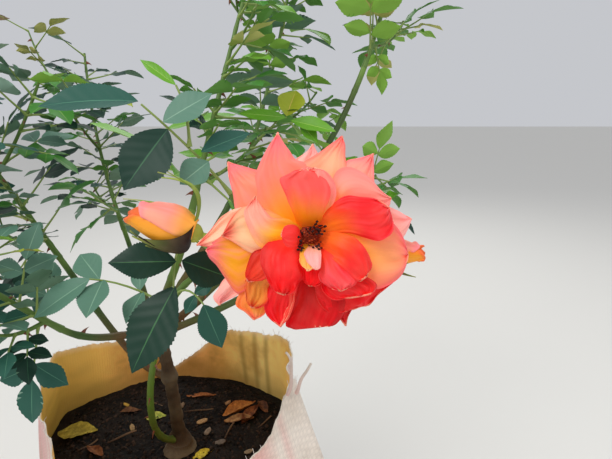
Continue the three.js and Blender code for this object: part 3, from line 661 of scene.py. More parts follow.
def makeBag():
    random = makeRandom(bagLook["seed"])
    jitter = np.array([bagLook["fray"] * (2 * random() - 1) for _ in range(bagLook["columns"])])
    levels = [0, 1.5, 4, 8, *np.linspace(14, bag["lastBand"], bagLook["lowRows"])]
    collar = np.linspace(0, 1, bagLook["collarRows"] + 1)[1:]
    foot = tone(bagLook["outsideFoot"])
    angle, height, outer = bagSurface(0, levels, collar, jitter)
    outer[0, :, :2] *= 0.985
    store = Store()
    store.addGrid(outer, closed=True, tint=outsideTint(angle, height))
    store.addFan(outer[0], vec(*bag["hub"], 0), 0, foot, outward=False)
    low = [3, *bag["wallLevels"], bag["lastBand"]]
    inset = np.array([bag["hiddenCloth"]] * (len(low) - 1) + [bag["cloth"]] * (1 + len(collar)))
    angle, height, inner = bagSurface(inset[:, None], low, collar, jitter)
    store.addGrid(inner[::-1], closed=True, slot=1, tint=insideTint(angle, height)[::-1])
    store.addGrid(np.stack([outer[-1], inner[-1]]), closed=True, tint=tone(bagLook["earWhite"]))
    store.addFan(inner[0], vec(*bag["hub"], 3), 1, foot)
    outside = clothMaterial("fadedWovenCloth", "9c8468", 0.62, 0.02, 0.4)
    # the inside cloth has the strongest painted glow, which brightens it in the shade of the crown
    inside = clothMaterial("tanWovenCloth", "a8742c", 0.66, 0.14, 0.75)
    buildPiece("bagCloth", store, [outside, inside], ["grow_bag"])
    return outer[-1]


# Two curled bundles of loose tape on the standing corner
cornerThreads = [
    ((133, -91, 407), (138, -92, 422), (138.6, -90, 440), (132, -91, 447)),
    ((140, -90, 408), (144, -92, 420), (148, -91, 431), (153, -91, 437)),
]


def makeCornerThreads():
    store = Store()
    for i, points in enumerate(cornerThreads):
        line = Curve(*points).spaced(22)
        share = np.linspace(0, 1, len(line))
        line = line + 0.5 * np.stack([np.sin(9 * share + i), np.cos(11 * share), 0 * share], axis=-1)
        tint = dyed(bagLook["earPink"], bagLook["earWhite"], 0.4 + 0.6 * share)
        addTube(store, line, mix(1.7, 1.0, share), 9, tint)
    material = clothMaterial("curledTape", "c9a894", 0.7, 0.03, 0.3)
    buildPiece("cornerThreads", store, [material])


# Loose tape ends that stand out of the torn rim, spread along it by Geometry Nodes
threads = {"Count": 150, "Length": 0.007, "Thickness": 0.0003, "Seed": 7}


def makeThreads(rimLine):
    group = Group(
        "frayedRim", "Geometry", {"Rim": "Geometry", **threads, "Finish": "Material"}, {"Threads": "Geometry"})
    start = group.start
    curve = group.node("GeometryNodeMeshToCurve", {"Mesh": start["Rim"]}).outputs[0]
    sockets = {"Curve": curve, "Count": start["Count"]}
    spread = group.node("GeometryNodeResampleCurve", sockets, mode="COUNT").outputs[0]
    points = group.node("GeometryNodeCurveToPoints", {"Curve": spread}, mode="EVALUATED").outputs["Points"]
    thin = group.math("DIVIDE", start["Thickness"], start["Length"])
    tape = group.tube((0, 0, -0.3), (0.05, 0.1, 0.5), (0.5, 0.2, 0.85), 6, 3, thin)
    turn = group.drawnVector((-0.5, -0.5, 0), (0.5, 0.5, 6.28), start["Seed"])
    long = group.math("MULTIPLY", group.drawn(0.2, 1.0), start["Length"])
    group.give(Threads=group.painted(group.scattered(points, tape, turn, long), start["Finish"]))
    edges = [(i, (i + 1) % len(rimLine)) for i in range(len(rimLine))]
    values = {**threads, "Finish": plainMaterial("whiteTapeEnds", "e9ded6", 0.6, 0.4)}
    growPiece("frayedThreads", group, values, rimLine, edges=edges)


makeThreads(makeBag())
makeCornerThreads()
print("bag made")

# Soil, its crumbs and the dry leaves on it
soil = {
    "edge": 283, "shoulder": 288.4, "top": 292, "rows": 64, "columns": 220, "relief": 3.2, "grain": 1.2,
    "clear": 2.2, "dark": "0e0a08", "warm": "231812", "pale": "3f3329",
}


def soilHeight(x, y, share, angle):
    turns = [0, 0.32, 0.76, 1]
    mound = np.interp(share, turns, [soil["top"], soil["top"], soil["shoulder"], soil["edge"]])
    mound = mound + 2 * sineOf(4 * angle + 40) * np.interp(share, turns, [0, 0, 1, 0])
    flat = np.stack([x, y, 0 * x], axis=-1)
    lumps = soil["relief"] * (ripples(flat, 0.045, 3.0) + 0.5 * ripples(flat, 0.11, 9.0))
    return mound - 0.6 + lumps * (1 - ramp(0.9, 1.0, share)) + soil["grain"] * ripples(flat, 0.42, 5.0)


def makeSoil():
    shares = [1.0, 0.985, *np.linspace(0.965, 0.015, soil["rows"])]
    angles = np.linspace(-180, 180, soil["columns"], endpoint=False)
    share, angle = np.meshgrid(shares, angles, indexing="ij")
    top = ringPoints(angle, share * (clothRadius(angle, soil["edge"]) - soil["clear"]), 0.0)
    top[..., 2] = soilHeight(top[..., 0], top[..., 1], share, angle)
    fine = ripples(top, 0.5, 33.0)
    warmth = np.clip(0.35 + 1.1 * ripples(top, 0.06, 21.0) + 0.5 * fine, 0, 1)
    colour = dyed(dyed(soil["dark"], soil["warm"], warmth), soil["pale"], np.clip(fine * 2 - 0.55, 0, 1))
    dark = tone(soil["dark"])
    wall = [ringPoints(angles, clothRadius(angles, z) - soil["clear"], z) for z in (4, *bag["wallLevels"])]
    store = Store()
    store.addGrid(top, closed=True, tint=colour)
    store.addFan(top[-1], top[-1].mean(axis=0), 0, dark)
    store.addGrid(np.array([*wall, top[0]]), closed=True, tint=dark)
    store.addFan(wall[0], vec(*bag["hub"], 4), 0, dark, outward=False)
    paint = Painter("dampSoil", soil["dark"], 0.92, 0.25)
    paint.speckled((900.0, 4.0, 0.7), 0.55, 1.35)
    paint.bump(paint.noise(paint.place(), 420.0, 6.0, 0.7), 0.9, 0.002)
    buildPiece("pottingSoil", store, [paint.material], ["soil"])
    return top


crumbs = {"Density": 42000.0, "Smallest": 0.0006, "Largest": 0.0034, "Seed": 12}


def makeCrumbs(top):
    group = Group(
        "soilCrumbs", "Geometry", {"Ground": "Geometry", **crumbs, "Finish": "Material"}, {"Crumbs": "Geometry"})
    start = group.start
    sockets = {"Mesh": start["Ground"], "Density": start["Density"], "Seed": start["Seed"]}
    spots = group.node("GeometryNodeDistributePointsOnFaces", sockets).outputs["Points"]
    lump = group.node("GeometryNodeMeshIcoSphere", {"Radius": 1.0, "Subdivisions": 1}).outputs["Mesh"]
    sockets = {
        0: group.drawnVector((0.5, 0.5, 0.4), (1.1, 1.0, 0.9)),
        "Scale": group.drawn(start["Smallest"], start["Largest"]),
    }
    size = group.node("ShaderNodeVectorMath", sockets, operation="SCALE").outputs[0]
    turn = group.drawnVector((0, 0, 0), (6.28, 6.28, 6.28))
    group.give(Crumbs=group.painted(group.scattered(spots, lump, turn, size), start["Finish"]))
    ground = top[5::3, ::3]
    faces, _ = gridFaces(ground.shape[0], ground.shape[1], True)
    paint = Painter("crumbledSoil", "38271b", 0.95, 0.2)
    share = paint.range(paint.noise(paint.place(), 160.0, 2.0, 0.55), 0.4, 0.7, 0.0, 1.0)
    paint.feed(paint.blend(share, hexColour("140e0a"), hexColour("46342a")), "Base Color")
    values = {**crumbs, "Finish": paint.material}
    growPiece("soilCrumbs", group, values, ground, faces=faces.tolist())


makeCrumbs(makeSoil())
print("soil made")

# The woody stem and its canes, by the same rule as their solids
gap = 0.35
trunk = {
    "ground": 292.4, "foot": vec(16, -16, 303), "bend": vec(18, -30, 372), "top": vec(20, -58, 446),
    "footRadius": 12, "flare": 19, "rootRadius": 6.6, "tipRadius": 5,
    "middleShare": 0.62, "middleRadius": 8.6, "topRadius": 9.8,
}
canes = {  # where it starts, angle round the stem and lean there, tip, heading at the tip, radii
    "front": ("foot", -120, 58, (38, -100, 480), (0.36, -0.26, 0.9), (3.9, 2.7)),
    "middle": ("top", -60, 8, (64, -92, 566), (0.25, 0.1, 0.96), (3.5, 2.7)),
    "right": ("top", 22, 54, (205, 50, 676), (0.34, 0.24, 0.91), (4.2, 3.1)),
    "right_low": ("top", -36, 60, (150, 10, 500), (0.72, 0.34, 0.6), (3.4, 2.5)),
    "back": ("top", 88, 52, (88, 66, 590), (0.3, 0.2, 0.93), (3.8, 2.8)),
    "back_left": ("middle", 122, 66, (-58, 78, 505), (-0.4, 0.4, 0.82), (3.5, 2.6)),
    "left": ("middle", 183, 66, (-72, -34, 508), (-0.45, -0.05, 0.89), (3.5, 2.6)),
    "front_left": ("top", -130, 60, (-34, -112, 478), (-0.6, -0.4, 0.69), (3.3, 2.5)),
}
woodLook = {
    "trunkSides": 30, "trunkStep": 1.4, "furrow": 0.55, "caneSides": 14, "caneStep": 2.2, "budEvery": 31,
    "brown": "4a3826", "grey": "6e5f49", "green": "5d7a2c", "darkGreen": "3f5a24", "flush": "6b4528",
    "twigGreen": "6f8f3c",
    "slim": {"front": 0.87, "right": 0.87},  # canes that look slighter than their solids
}
trunkLine = Curve(trunk["foot"], trunk["bend"], trunk["top"])
knuckles = {
    "foot": (trunk["foot"], trunk["footRadius"]),
    "middle": (trunkLine.point(trunk["middleShare"]), trunk["middleRadius"]),
    "top": (trunk["top"], trunk["topRadius"]),
}


def makeTrunk():
    base = vec(*trunk["foot"][:2], trunk["ground"])
    rise = trunk["foot"] - base
    low = np.array([base + rise * share for share in np.linspace(0, 0.9, 8)])
    length = trunkLine.length()
    over = np.array([trunk["top"] + trunkLine.tangent(1) * step for step in (3, 5.5, 7.6, 9)])
    line = np.vstack([low, trunkLine.spaced(int(length / woodLook["trunkStep"])), over])
    steps = lengthsAlong(line)
    share = np.clip((steps - rise[2]) / length, 0, 1)
    middle = rise[2] + trunk["middleShare"] * length
    top = rise[2] + length

    def knot(place, out, spread):
        return out * np.exp(-((steps - place) / spread) ** 2)

    radii = mix(trunk["rootRadius"], trunk["tipRadius"], share)
    radii += (trunk["flare"] - 8.5) * np.exp(-((steps / 7.5) ** 1.5)) + knot(13, 3.2, 7)
    radii += knot(middle, 2.6, 6.5) + knot(top, 4.4, 7.0)
    radii *= np.sqrt(np.clip((top + 9.6 - steps) / 7, 0.02, 1))

    def wobble(i, turns, centre, spokes):
        furrows = np.sin(turns * 7 + steps[i] / 12) * 0.5 + np.sin(turns * 13 - steps[i] / 7)
        lumps = ripples(centre + spokes * 6, 0.16, 4.0)
        return 1 + (furrows * 0.35 * woodLook["furrow"] + 1.3 * lumps) / 8

    tint = dyed(woodLook["brown"], woodLook["grey"], np.clip(0.45 + ripples(line, 0.05, 8.0), 0, 1))
    store = Store()
    addTube(store, line, radii, woodLook["trunkSides"], tint, wobble)
    buildPiece("stemBark", store, [barkMaterial("brownBark", "35281b", 0.85, 0.8)], ["trunk"])


def caneCurve(row):
    source, around, lean, tip, aim, _ = row
    (c, s), (high, out) = cosSin(around), cosSin(lean)
    away = vec(out * c, out * s, high)
    centre, radius = knuckles[source]
    root = centre + away * (radius + gap)
    reach = np.linalg.norm(root - vec(*tip))
    return Curve(root, root + 0.2 * reach * away, vec(*tip) - 0.42 * reach * unit(vec(*aim)), tip)


caneCurves = {name: caneCurve(row) for name, row in canes.items()}


def makeCanes():
    store = Store()
    for k, (name, row) in enumerate(canes.items()):
        curve = caneCurves[name]
        line = curve.spaced(int(curve.length() / woodLook["caneStep"]))
        line = np.vstack([line[0] - curve.tangent(0) * 2.6, line, line[-1] + curve.tangent(1) * 0.3])
        steps = np.linspace(0, curve.length(), len(line))
        share = steps / steps[-1]
        near = np.abs(np.mod(steps - 9 - 5 * k, woodLook["budEvery"]) - 0.5 * woodLook["budEvery"])
        radii = mix(*row[5], share) * woodLook["slim"].get(name, 1) * (1 + 0.11 * np.exp(-(near / 2.0) ** 2))
        radii[:2] *= (1.25, 1.2)

        def wobble(i, turns, centre, spokes, k=k):
            return 1 + 0.035 * np.sin(turns * 5 + steps[i] / 9 + k) + 0.03 * np.sin(turns * 2 - steps[i] / 17)

        old = np.clip(1.1 - 1.6 * share + 0.5 * np.sin(steps / 23 + k), 0, 1) * (0.25 if name == "front" else 1)
        green = woodLook["green" if name in ("front", "middle") else "darkGreen"]
        tint = dyed(dyed(green, woodLook["flush"], 0.85 * old), woodLook["twigGreen"], ramp(0.86, 1, share))
        addTube(store, line, radii, woodLook["caneSides"], tint, wobble)
    bark = barkMaterial("greenCaneBark", "4b5a2a", 0.5, 0.3)
    buildPiece("caneBark", store, [bark], ["cane_" + name for name in canes])


makeTrunk()
makeCanes()
print("stem and canes made")

# Leaves: the same growing rule as the solids, then more leaves and finer twigs in the gaps
twig = {  # radii at the root and the tip, then how far along the last leaf stands
    "stem": (2.3, 1.3), "side": (1.5, 1.1), "fine": (1.05, 0.7), "shoot": (2.4, 2.0), "lastLeaf": 0.985,
}
leaf = {
    "rachisShare": 0.54, "rachisRoot": 1.05, "rachisTip": 0.6, "leafletShare": 0.44, "halfWidthShare": 0.31,
    "widestAt": 0.45, "stagger": 0.02, "splay": 66, "threeShare": 0.45, "tries": 9,
    "plateReach": 3.2, "rodStep": 3,
}
crown = {
    "centre": vec(70, 10, 600), "radii": vec(290, 232, 350), "lowest": 356,
    "besideBag": (80, -20, 450),  # right of this and in front of this, the leaves start higher
}
masses = {  # tip, leaves on the first stem, its twigs, size of a leaf of the solids, seed
    "middle": ((104, -52, 722), 9, 1, 108, 211),
    "right": ((252, 90, 852), 9, 2, 112, 317),
    "back": ((136, 118, 790), 9, 2, 114, 419),
    "back_left": ((-112, 150, 700), 8, 2, 114, 523),
    "left": ((-140, -60, 660), 9, 2, 112, 631),
    "front_left": ((-96, -150, 560), 9, 1, 104, 739),
    "right_low": ((226, 84, 566), 9, 1, 104, 853),
}
clusterFork = {"centre": vec(128, -151, 553), "radius": 4.6}
# The finer growth: smaller leaves than the solids', more between them, and short twigs with young leaves
finer = {
    "sideLeaves": 5, "firstSize": 0.74, "leavesEach": 15, "leafSize": 0.6,
    "twigsEach": 9, "twigLength": 0.3, "youngSize": 0.5, "seed": 5003,
}
shootTwig = {"at": 0.86, "bend": (112, -158, 570), "tip": (104, -160, 591), "radii": (1.6, 1.3), "seed": 97}
shootLeaves = {  # share of the stem, bend, foot and tip of the end leaflet, facing, pairs, side length
    "upper_left": (None, (88, -164, 616), (63, -179, 641), (18, -195, 644), (0.1, -0.45, 0.88), 2, 38),
    "under_bud": (0.66, (74, -178, 592), (76, -191, 544), (56, -215, 507), (-0.35, -0.86, 0.36), 1, 38),
    "low": (0.24, (66, -128, 524), (80, -142, 512), (93, -152, 485), (0.2, -0.9, 0.4), 1, 15),
    "low_left": (0.12, (22, -116, 520), (2, -134, 527), (-30, -152, 508), (-0.2, -0.6, 0.77), 2, 31),
}
shootLeaflets = {  # leaflets of the shoot that have a place of their own: root, tip, half width, facing, tone
    ("upper_left", 0): ((94.9, -171, 610.6), (81.0, -182, 599.8), 8.2, (0.1, -0.85, 0.5), "Pale"),
    ("upper_left", 1): ((91, -171.6, 615.8), (116.6, -160.4, 626.4), 7.4, (0.2, -0.5, 0.8), "Blue"),
    ("upper_left", 2): ((75.6, -178, 628.4), (55.8, -197, 600.4), 13.8, (0.1, -0.9, 0.3), "Dark"),
    ("upper_left", 3): ((73.3, -177.6, 632.0), (98.4, -171.4, 647.3), 9.6, (0.1, -0.75, 0.6), "Pale"),
    ("upper_left", 4): ((61.6, -178.9, 642.6), (15.4, -190.6, 645.3), 13.2, (0.05, -0.52, 0.85), "Blue"),
    ("under_bud", 0): ((78, -189, 558.5), (44, -197, 561), 10.4, (-0.1, -0.8, 0.55), "Deep"),
    ("under_bud", 1): ((81, -189, 559), (107, -185, 547.5), 10.4, (-0.1, -0.8, 0.5), "Deep"),
    ("under_bud", 2): ((77, -191, 545), (55, -214, 506), 14.6, (-0.35, -0.86, 0.36), "Deep"),
}
# Two bright leaves with a place of their own: share of the stalk, bend, end, facing, then each leaflet's
# root, tip, half width and tone
brightLeaves = {
    "front": (0.55, (85, -168, 638), (79, -169, 651), (0.1, -0.8, 0.6), [
        ((79, -169, 651), (60, -166, 665), 3.4, "Bright"),
    ]),
    "middle": (0.42, (110, -71, 631), (134, -75, 632), (0.05, -0.75, 0.66), [
        ((134, -75, 632), (100, -85, 636), 6.2, "Bright"), ((134, -75, 633), (141, -58, 653), 10.5, "Young"),
        ((137, -76, 630), (170, -89, 623), 6.8, "Bright"), ((144, -77, 628), (157, -86, 615), 5.5, "Bright"),
    ]),
}
openSpaces = [  # centre and reach of the air that the flowers stand in
    ((150, -205, 579), 66), ((150, -262, 596), 76), ((70, -208, 585), 48), ((200, -165, 560), 46),
    ((95, -262, 560), 90),
]
openWindows = [((95, -60), (224, 66)), ((405, 42), (700, 128))]  # kept free of leaves: corners in the view's pixels


def leafletOf(root, along, face, length):
    direction = unit(along)
    normal = unit(face - direction * (face @ direction))
    return {
        "root": root, "direction": direction, "normal": normal, "side": np.cross(direction, normal),
        "length": length, "halfWidth": length * leaf["halfWidthShare"],
    }


def ownLeaflet(root, tip, half, facing, shade):  # a leaflet with a place, a width and a tone of its own
    along = vec(*tip) - vec(*root)
    one = leafletOf(vec(*root), along, vec(*facing), np.linalg.norm(along))
    return {**one, "halfWidth": half, "tone": shade}


def compoundLeaf(stalk, endAlong, face, pairs, sideLength, endLength, random):
    leaflets = []
    for pair in range(pairs):
        share = 0.74 if pairs == 1 else mix(0.36, 0.86, pair / (pairs - 1))
        tangent = stalk.tangent(share)
        across = unit(np.cross(tangent, face))
        length = sideLength * mix(0.84, 1, 1 if pairs == 1 else pair / (pairs - 1))
        for hand in (-1, 1):
            at = stalk.point(share + hand * leaf["stagger"])
            splay = math.radians(leaf["splay"] + 14 * (random() - 0.5))
            along = tangent * math.cos(splay) + across * hand * math.sin(splay) - up * 0.16 * random()
            tilted = face + across * 0.5 * (random() - 0.5)
            leaflets.append(leafletOf(at, along, tilted, length * mix(0.92, 1.08, random())))
    leaflets.append(leafletOf(stalk.point(1), endAlong, face, endLength))
    return {"stalk": stalk, "leaflets": leaflets}


class Room:  # what stands in the crown already: limbs as points with a reach, leaflets as thin plates
    def __init__(self):
        self.rods = np.zeros((0, 4))
        self.plates = {key: np.zeros((0, 3)) for key in ("root", "direction", "normal", "side")}
        self.sizes = np.zeros((0, 2))
        self.marks = np.zeros((0, 3))

    def addRod(self, curve, reach):
        line = curve.spaced(max(2, math.ceil(curve.length() / leaf["rodStep"])))
        self.rods = np.vstack([self.rods, np.column_stack([line, np.full(len(line), reach)])])

    def addLeaf(self, made):
        self.addRod(made["stalk"], 2.2)
        for one in made["leaflets"]:
            for key in self.plates:
                self.plates[key] = np.vstack([self.plates[key], one[key]])
            self.sizes = np.vstack([self.sizes, [one["length"], one["halfWidth"]]])
            self.marks = np.vstack([self.marks, leafletPoints(one)])

    def inPlates(self, points):
        if not len(self.sizes):
            return False
        arm = points[None, :, :] - self.plates["root"][:, None, :]
        length, half = self.sizes[:, :1], self.sizes[:, 1:]
        axes = (self.plates[key] for key in ("direction", "normal", "side"))
        along, off, side = (np.einsum("pnk,pk->pn", arm, axis) for axis in axes)
        near = np.einsum("pnk,pnk->pn", arm, arm) < (length + 6) ** 2
        inside = (along > -2) & (along < length + 2) & (np.abs(off - 1) < leaf["plateReach"])
        return bool((near & inside & (np.abs(side) < half + 2)).any())

    def nearRods(self, points):
        arm = points[:, None, :] - self.rods[None, :, :3]
        return bool((np.einsum("pnk,pnk->pn", arm, arm) < self.rods[None, :, 3] ** 2).any())

    def isClear(self, made):
        own = np.vstack([leafletPoints(one) for one in made["leaflets"]])
        if not insideCrown(own):
            return False
        if self.nearRods(own) or self.inPlates(own) or self.inPlates(made["stalk"].spaced(8)[2:]):
            return False
        mine = Room()
        mine.sizes = np.array([[one["length"], one["halfWidth"]] for one in made["leaflets"]])
        mine.plates = {key: np.array([one[key] for one in made["leaflets"]]) for key in mine.plates}
        return not (mine.inPlates(self.marks) or mine.inPlates(self.rods[:, :3]))


def leafletPoints(one):
    share = np.repeat(np.arange(1, 9) / 8, 5)
    across = np.tile([-1, -0.5, 0, 0.5, 1], 8)
    wide = np.where(share < leaf["widestAt"], share / leaf["widestAt"], (1 - share) / (1 - leaf["widestAt"]))
    spread = (across * wide * one["halfWidth"])[:, None]
    return (
        one["root"] + (share * one["length"])[:, None] * one["direction"]
        + spread * one["side"] + 0.12 * np.abs(spread) * one["normal"]
    )


def inPicture(points):  # where points stand in the view, in pixels from its top left corner
    arm = points - 1000 * vec(*view["place"])
    c, s = cosSin(view["pitch"])
    scale = view["focalPixels"] / np.maximum(arm[:, 1] * c - arm[:, 2] * s, 1)
    rise = arm[:, 1] * s + arm[:, 2] * c
    return view["pixelsWide"] / 2 + arm[:, 0] * scale, view["pixelsHigh"] / 2 - rise * scale


def inWindow(points):
    x, y = inPicture(points)
    return any(
        ((x > left) & (x < right) & (y > top) & (y < bottom)).any() for (left, top), (right, bottom) in openWindows
    )


def insideCrown(points):
    share = (((points - crown["centre"]) / crown["radii"]) ** 2).sum(axis=1)
    rightOf, frontOf, height = crown["besideBag"]
    lowest = np.where((points[:, 0] > rightOf) & (points[:, 1] < frontOf), height, crown["lowest"])
    if (share >= 1).any() or (points[:, 2] <= lowest).any() or inWindow(points):
        return False
    return not any((np.linalg.norm(points - vec(*centre), axis=1) < radius).any() for centre, radius in openSpaces)


def growLeaf(room, kept, curve, share, around, size, random):  # adds a leaf if it finds room there
    root, tangent = curve.point(share), curve.tangent(share)
    across = unit(np.cross(tangent, vec(0.31, 0.95, 0.02)))
    for attempt in range(leaf["tries"]):
        turn = math.radians(around + 40 * attempt + 20 * (random() - 0.5))
        outward = turned(across, tangent, turn)
        spread = math.radians(mix(48, 72, random()))
        heading = unit(tangent * math.cos(spread) + outward * math.sin(spread) + up * 0.12)
        length = size * mix(0.78, 1.12, random()) * (1 - 0.05 * attempt)
        heading = unit(heading - up * mix(0.05, 0.4, random()))
        end = root + heading * length * leaf["rachisShare"]
        level = unit(np.cross(heading, up))
        face = unit(unit(np.cross(level, heading)) + level * 0.5 * (random() - 0.5))
        blade = length * leaf["leafletShare"]
        pairs = 1 if random() < leaf["threeShare"] else 2
        made = compoundLeaf(
            Curve(root, end), heading - up * 0.35, face, pairs, 0.88 * blade, 1.06 * blade, random)
        if room.isClear(made):
            room.addLeaf(made)
            kept.append(made)
            return


def limb(room, curve, radii, leaves=0):
    room.addRod(curve, radii[0] + 2.2)
    return {"curve": curve, "radii": radii, "leaves": leaves}


def caneEnd(caneRow):  # where the stem goes on from the cane, and its way there
    aim = unit(vec(*caneRow[4]))
    return vec(*caneRow[3]) + aim * gap, aim


def growMass(room, row, caneRow):
    tip, leaves, twigs, size, seed = row
    random = makeRandom(seed)
    start, aim = caneEnd(caneRow)
    reach = np.linalg.norm(vec(*tip) - start)
    stem = Curve(start, start + aim * 0.5 * reach, tip)
    limbs = [limb(room, stem, twig["stem"], leaves)]
    for i in range(twigs):
        share = mix(0.12, 0.72, (i + 0.5 * random()) / twigs)
        root, tangent = stem.point(share), stem.tangent(share)
        outward = turned(unit(np.cross(tangent, up)), tangent, math.radians(70 + 147 * i + 40 * random()))
        length = reach * mix(0.42, 0.56, random())
        bend = root + outward * 0.42 * length + tangent * 0.2 * length
        end = bend + outward * 0.3 * length + up * 0.42 * length
        limbs.append(limb(room, Curve(root, bend, end), twig["side"], finer["sideLeaves"]))
    grown = []
    for one in limbs:
        around = 360 * random()
        for i in range(one["leaves"]):
            share = mix(0.1 if one is limbs[0] else 0.35, twig["lastLeaf"], i / (one["leaves"] - 1))
            long = size * finer["firstSize"] * mix(1.05, 0.85, share)
            growLeaf(room, grown, one["curve"], share, around + goldenTurn * i, long, random)
    return {"limbs": limbs, "grown": grown, "size": size, "reach": reach}


def growShoot(room, caneRow):
    random = makeRandom(shootTwig["seed"])
    start, aim = caneEnd(caneRow)
    fork = clusterFork["centre"]
    stem = Curve(start, start + aim * 42, fork + vec(-38, 16, -8), fork)
    side = Curve(stem.point(shootTwig["at"]), shootTwig["bend"], shootTwig["tip"])
    grown = []
    for name, (at, bend, end, tip, face, pairs, length) in shootLeaves.items():
        root = side.point(twig["lastLeaf"]) if at is None else stem.point(at)
        along = vec(*tip) - vec(*end)
        made = compoundLeaf(
            Curve(root, bend, end), along, unit(vec(*face)), pairs, length, np.linalg.norm(along), random)
        for k in range(len(made["leaflets"])):
            if (name, k) in shootLeaflets:
                made["leaflets"][k] = ownLeaflet(*shootLeaflets[name, k])
        grown.append(made)
    limbs = [limb(room, stem, twig["shoot"]), limb(room, side, shootTwig["radii"])]
    for made in grown:
        room.addLeaf(made)
    return {"limbs": limbs, "grown": grown}


def placedLeaf(bearer, row):
    share, bend, end, facing, rows = row
    leaflets = [ownLeaflet(root, tip, half, facing, shade) for root, tip, half, shade in rows]
    return {"stalk": Curve(bearer.point(share), bend, end), "leaflets": leaflets}


def growFiner(room, mass, seed):
    random = makeRandom(seed)
    extra, young = [], []
    stems = list(mass["limbs"])
    for one in stems:
        around = 360 * random()
        count = finer["leavesEach"] if one is stems[0] else finer["leavesEach"] // 2
        for i in range(count):
            share = mix(0.08, 0.97, (i + random()) / count)
            size = mass["size"] * finer["leafSize"] * mix(1.1, 0.85, random())
            growLeaf(room, extra, one["curve"], share, around + goldenTurn * i, size, random)
    for i in range(finer["twigsEach"]):
        parent = stems[i % len(stems)]["curve"]
        share = mix(0.3, 0.9, random())
        root, tangent = parent.point(share), parent.tangent(share)
        outward = turned(unit(np.cross(tangent, vec(0.2, 0.3, 0.93))), tangent, 6.28 * random())
        length = mass["reach"] * finer["twigLength"] * mix(0.7, 1.2, random())
        bend = root + (outward * 0.4 + tangent * 0.25) * length
        curve = Curve(root, bend, bend + (outward * 0.3 + up * 0.35 + tangent * 0.1) * length)
        line = curve.spaced(12)[2:]
        if not insideCrown(line) or room.inPlates(line) or room.nearRods(line):
            continue
        room.addRod(curve, 2.4)
        mass["limbs"].append({"curve": curve, "radii": twig["fine"]})
        around = 360 * random()
        for j, at in enumerate((0.4, 0.72, 0.985)):
            size = mass["size"] * finer["youngSize"] * mix(1.1, 0.8, random())
            growLeaf(room, young, curve, at, around + goldenTurn * j, size, random)
    return extra, young


room = Room()
for name, row in canes.items():
    room.addRod(caneCurves[name], row[5][0] + 2.4)
grownMasses = {"front": growShoot(room, canes["front"])}
for name, row in masses.items():
    grownMasses[name] = growMass(room, row, canes[name])
for i, (name, mass) in enumerate(grownMasses.items()):
    mass["extra"], mass["young"] = ([], []) if name == "front" else growFiner(room, mass, finer["seed"] + 97 * i)
front, middle = grownMasses["front"], grownMasses["middle"]
front["grown"].append(placedLeaf(front["grown"][0]["stalk"], brightLeaves["front"]))
middle["extra"].append(placedLeaf(middle["limbs"][0]["curve"], brightLeaves["middle"]))
for name, mass in grownMasses.items():
    print("leaves grown on", name, len(mass["grown"]), len(mass["extra"]), len(mass["young"]))

# Leaf shapes. Each tone of leaf is a piece of its own with plain colours: face, underside and midrib.
leafTones = {  # face, underside, midrib, roughness
    "Dark": ("12372a", "5f8268", "2f6040", 0.5),
    "Blue": ("28594b", "7f9f8c", "4c8068", 0.5),
    "Pale": ("5c8470", "9ab39c", "84aa90", 0.5),
    "Deep": ("0f3526", "5a7c62", "376a3e", 0.46),
    "Green": ("3f7f2c", "5f9542", "7fa850", 0.46),
    "Bright": ("68a42a", "88b848", "a4c860", 0.44),
    "Young": ("a0ac2c", "b9b868", "c6b455", 0.4),
    "Ruddy": ("7d5a33", "96794f", "a8794a", 0.4),
}
massTones = {  # chances of each tone
    "front": {"Blue": 0.5, "Dark": 0.5},
    "middle": {"Green": 0.44, "Bright": 0.44, "Dark": 0.06, "Young": 0.06},
    "right": {"Green": 0.4, "Bright": 0.52, "Young": 0.08},
    "back": {"Green": 0.44, "Bright": 0.44, "Dark": 0.12},
    "back_left": {"Dark": 0.5, "Green": 0.3, "Blue": 0.2},
    "left": {"Blue": 0.4, "Dark": 0.35, "Pale": 0.15, "Green": 0.1},
    "front_left": {"Blue": 0.4, "Pale": 0.2, "Dark": 0.2, "Bright": 0.2},
    "right_low": {"Green": 0.4, "Dark": 0.4, "Bright": 0.2},
}
youngTones = {"Bright": 0.45, "Young": 0.4, "Ruddy": 0.15}
leafShape = {
    "teeth": 9, "shootTeeth": 22, "toothDepth": 0.03, "arch": 0.09, "fold": 0.2, "quilt": 0.06, "waver": 0.7,
    "ribShare": 0.03, "thick": 0.32, "sideVeins": 7, "pucker": 0.2, "seed": 1711,
    "across": (0.5, 1), "shootAcross": (0.18, 0.4, 0.66, 0.88, 1),
}
fixedTones = ("Blue", "Dark", "Blue", "Pale")  # of the shoot's four leaves


def pick(chances, draw):
    for key, chance in chances.items():
        draw -= chance
        if draw <= 0:
            return key
    return key


def leafletOutline(share):
    widest = leaf["widestAt"]
    low = np.sin(np.pi / 2 * np.clip(share / widest, 0, 1) ** 0.9) ** 0.85
    high = np.clip((share - widest) / (1 - widest), 0, 1)
    return np.where(share < widest, low, (1 - high ** 1.75) * (1 - 0.1 * high))


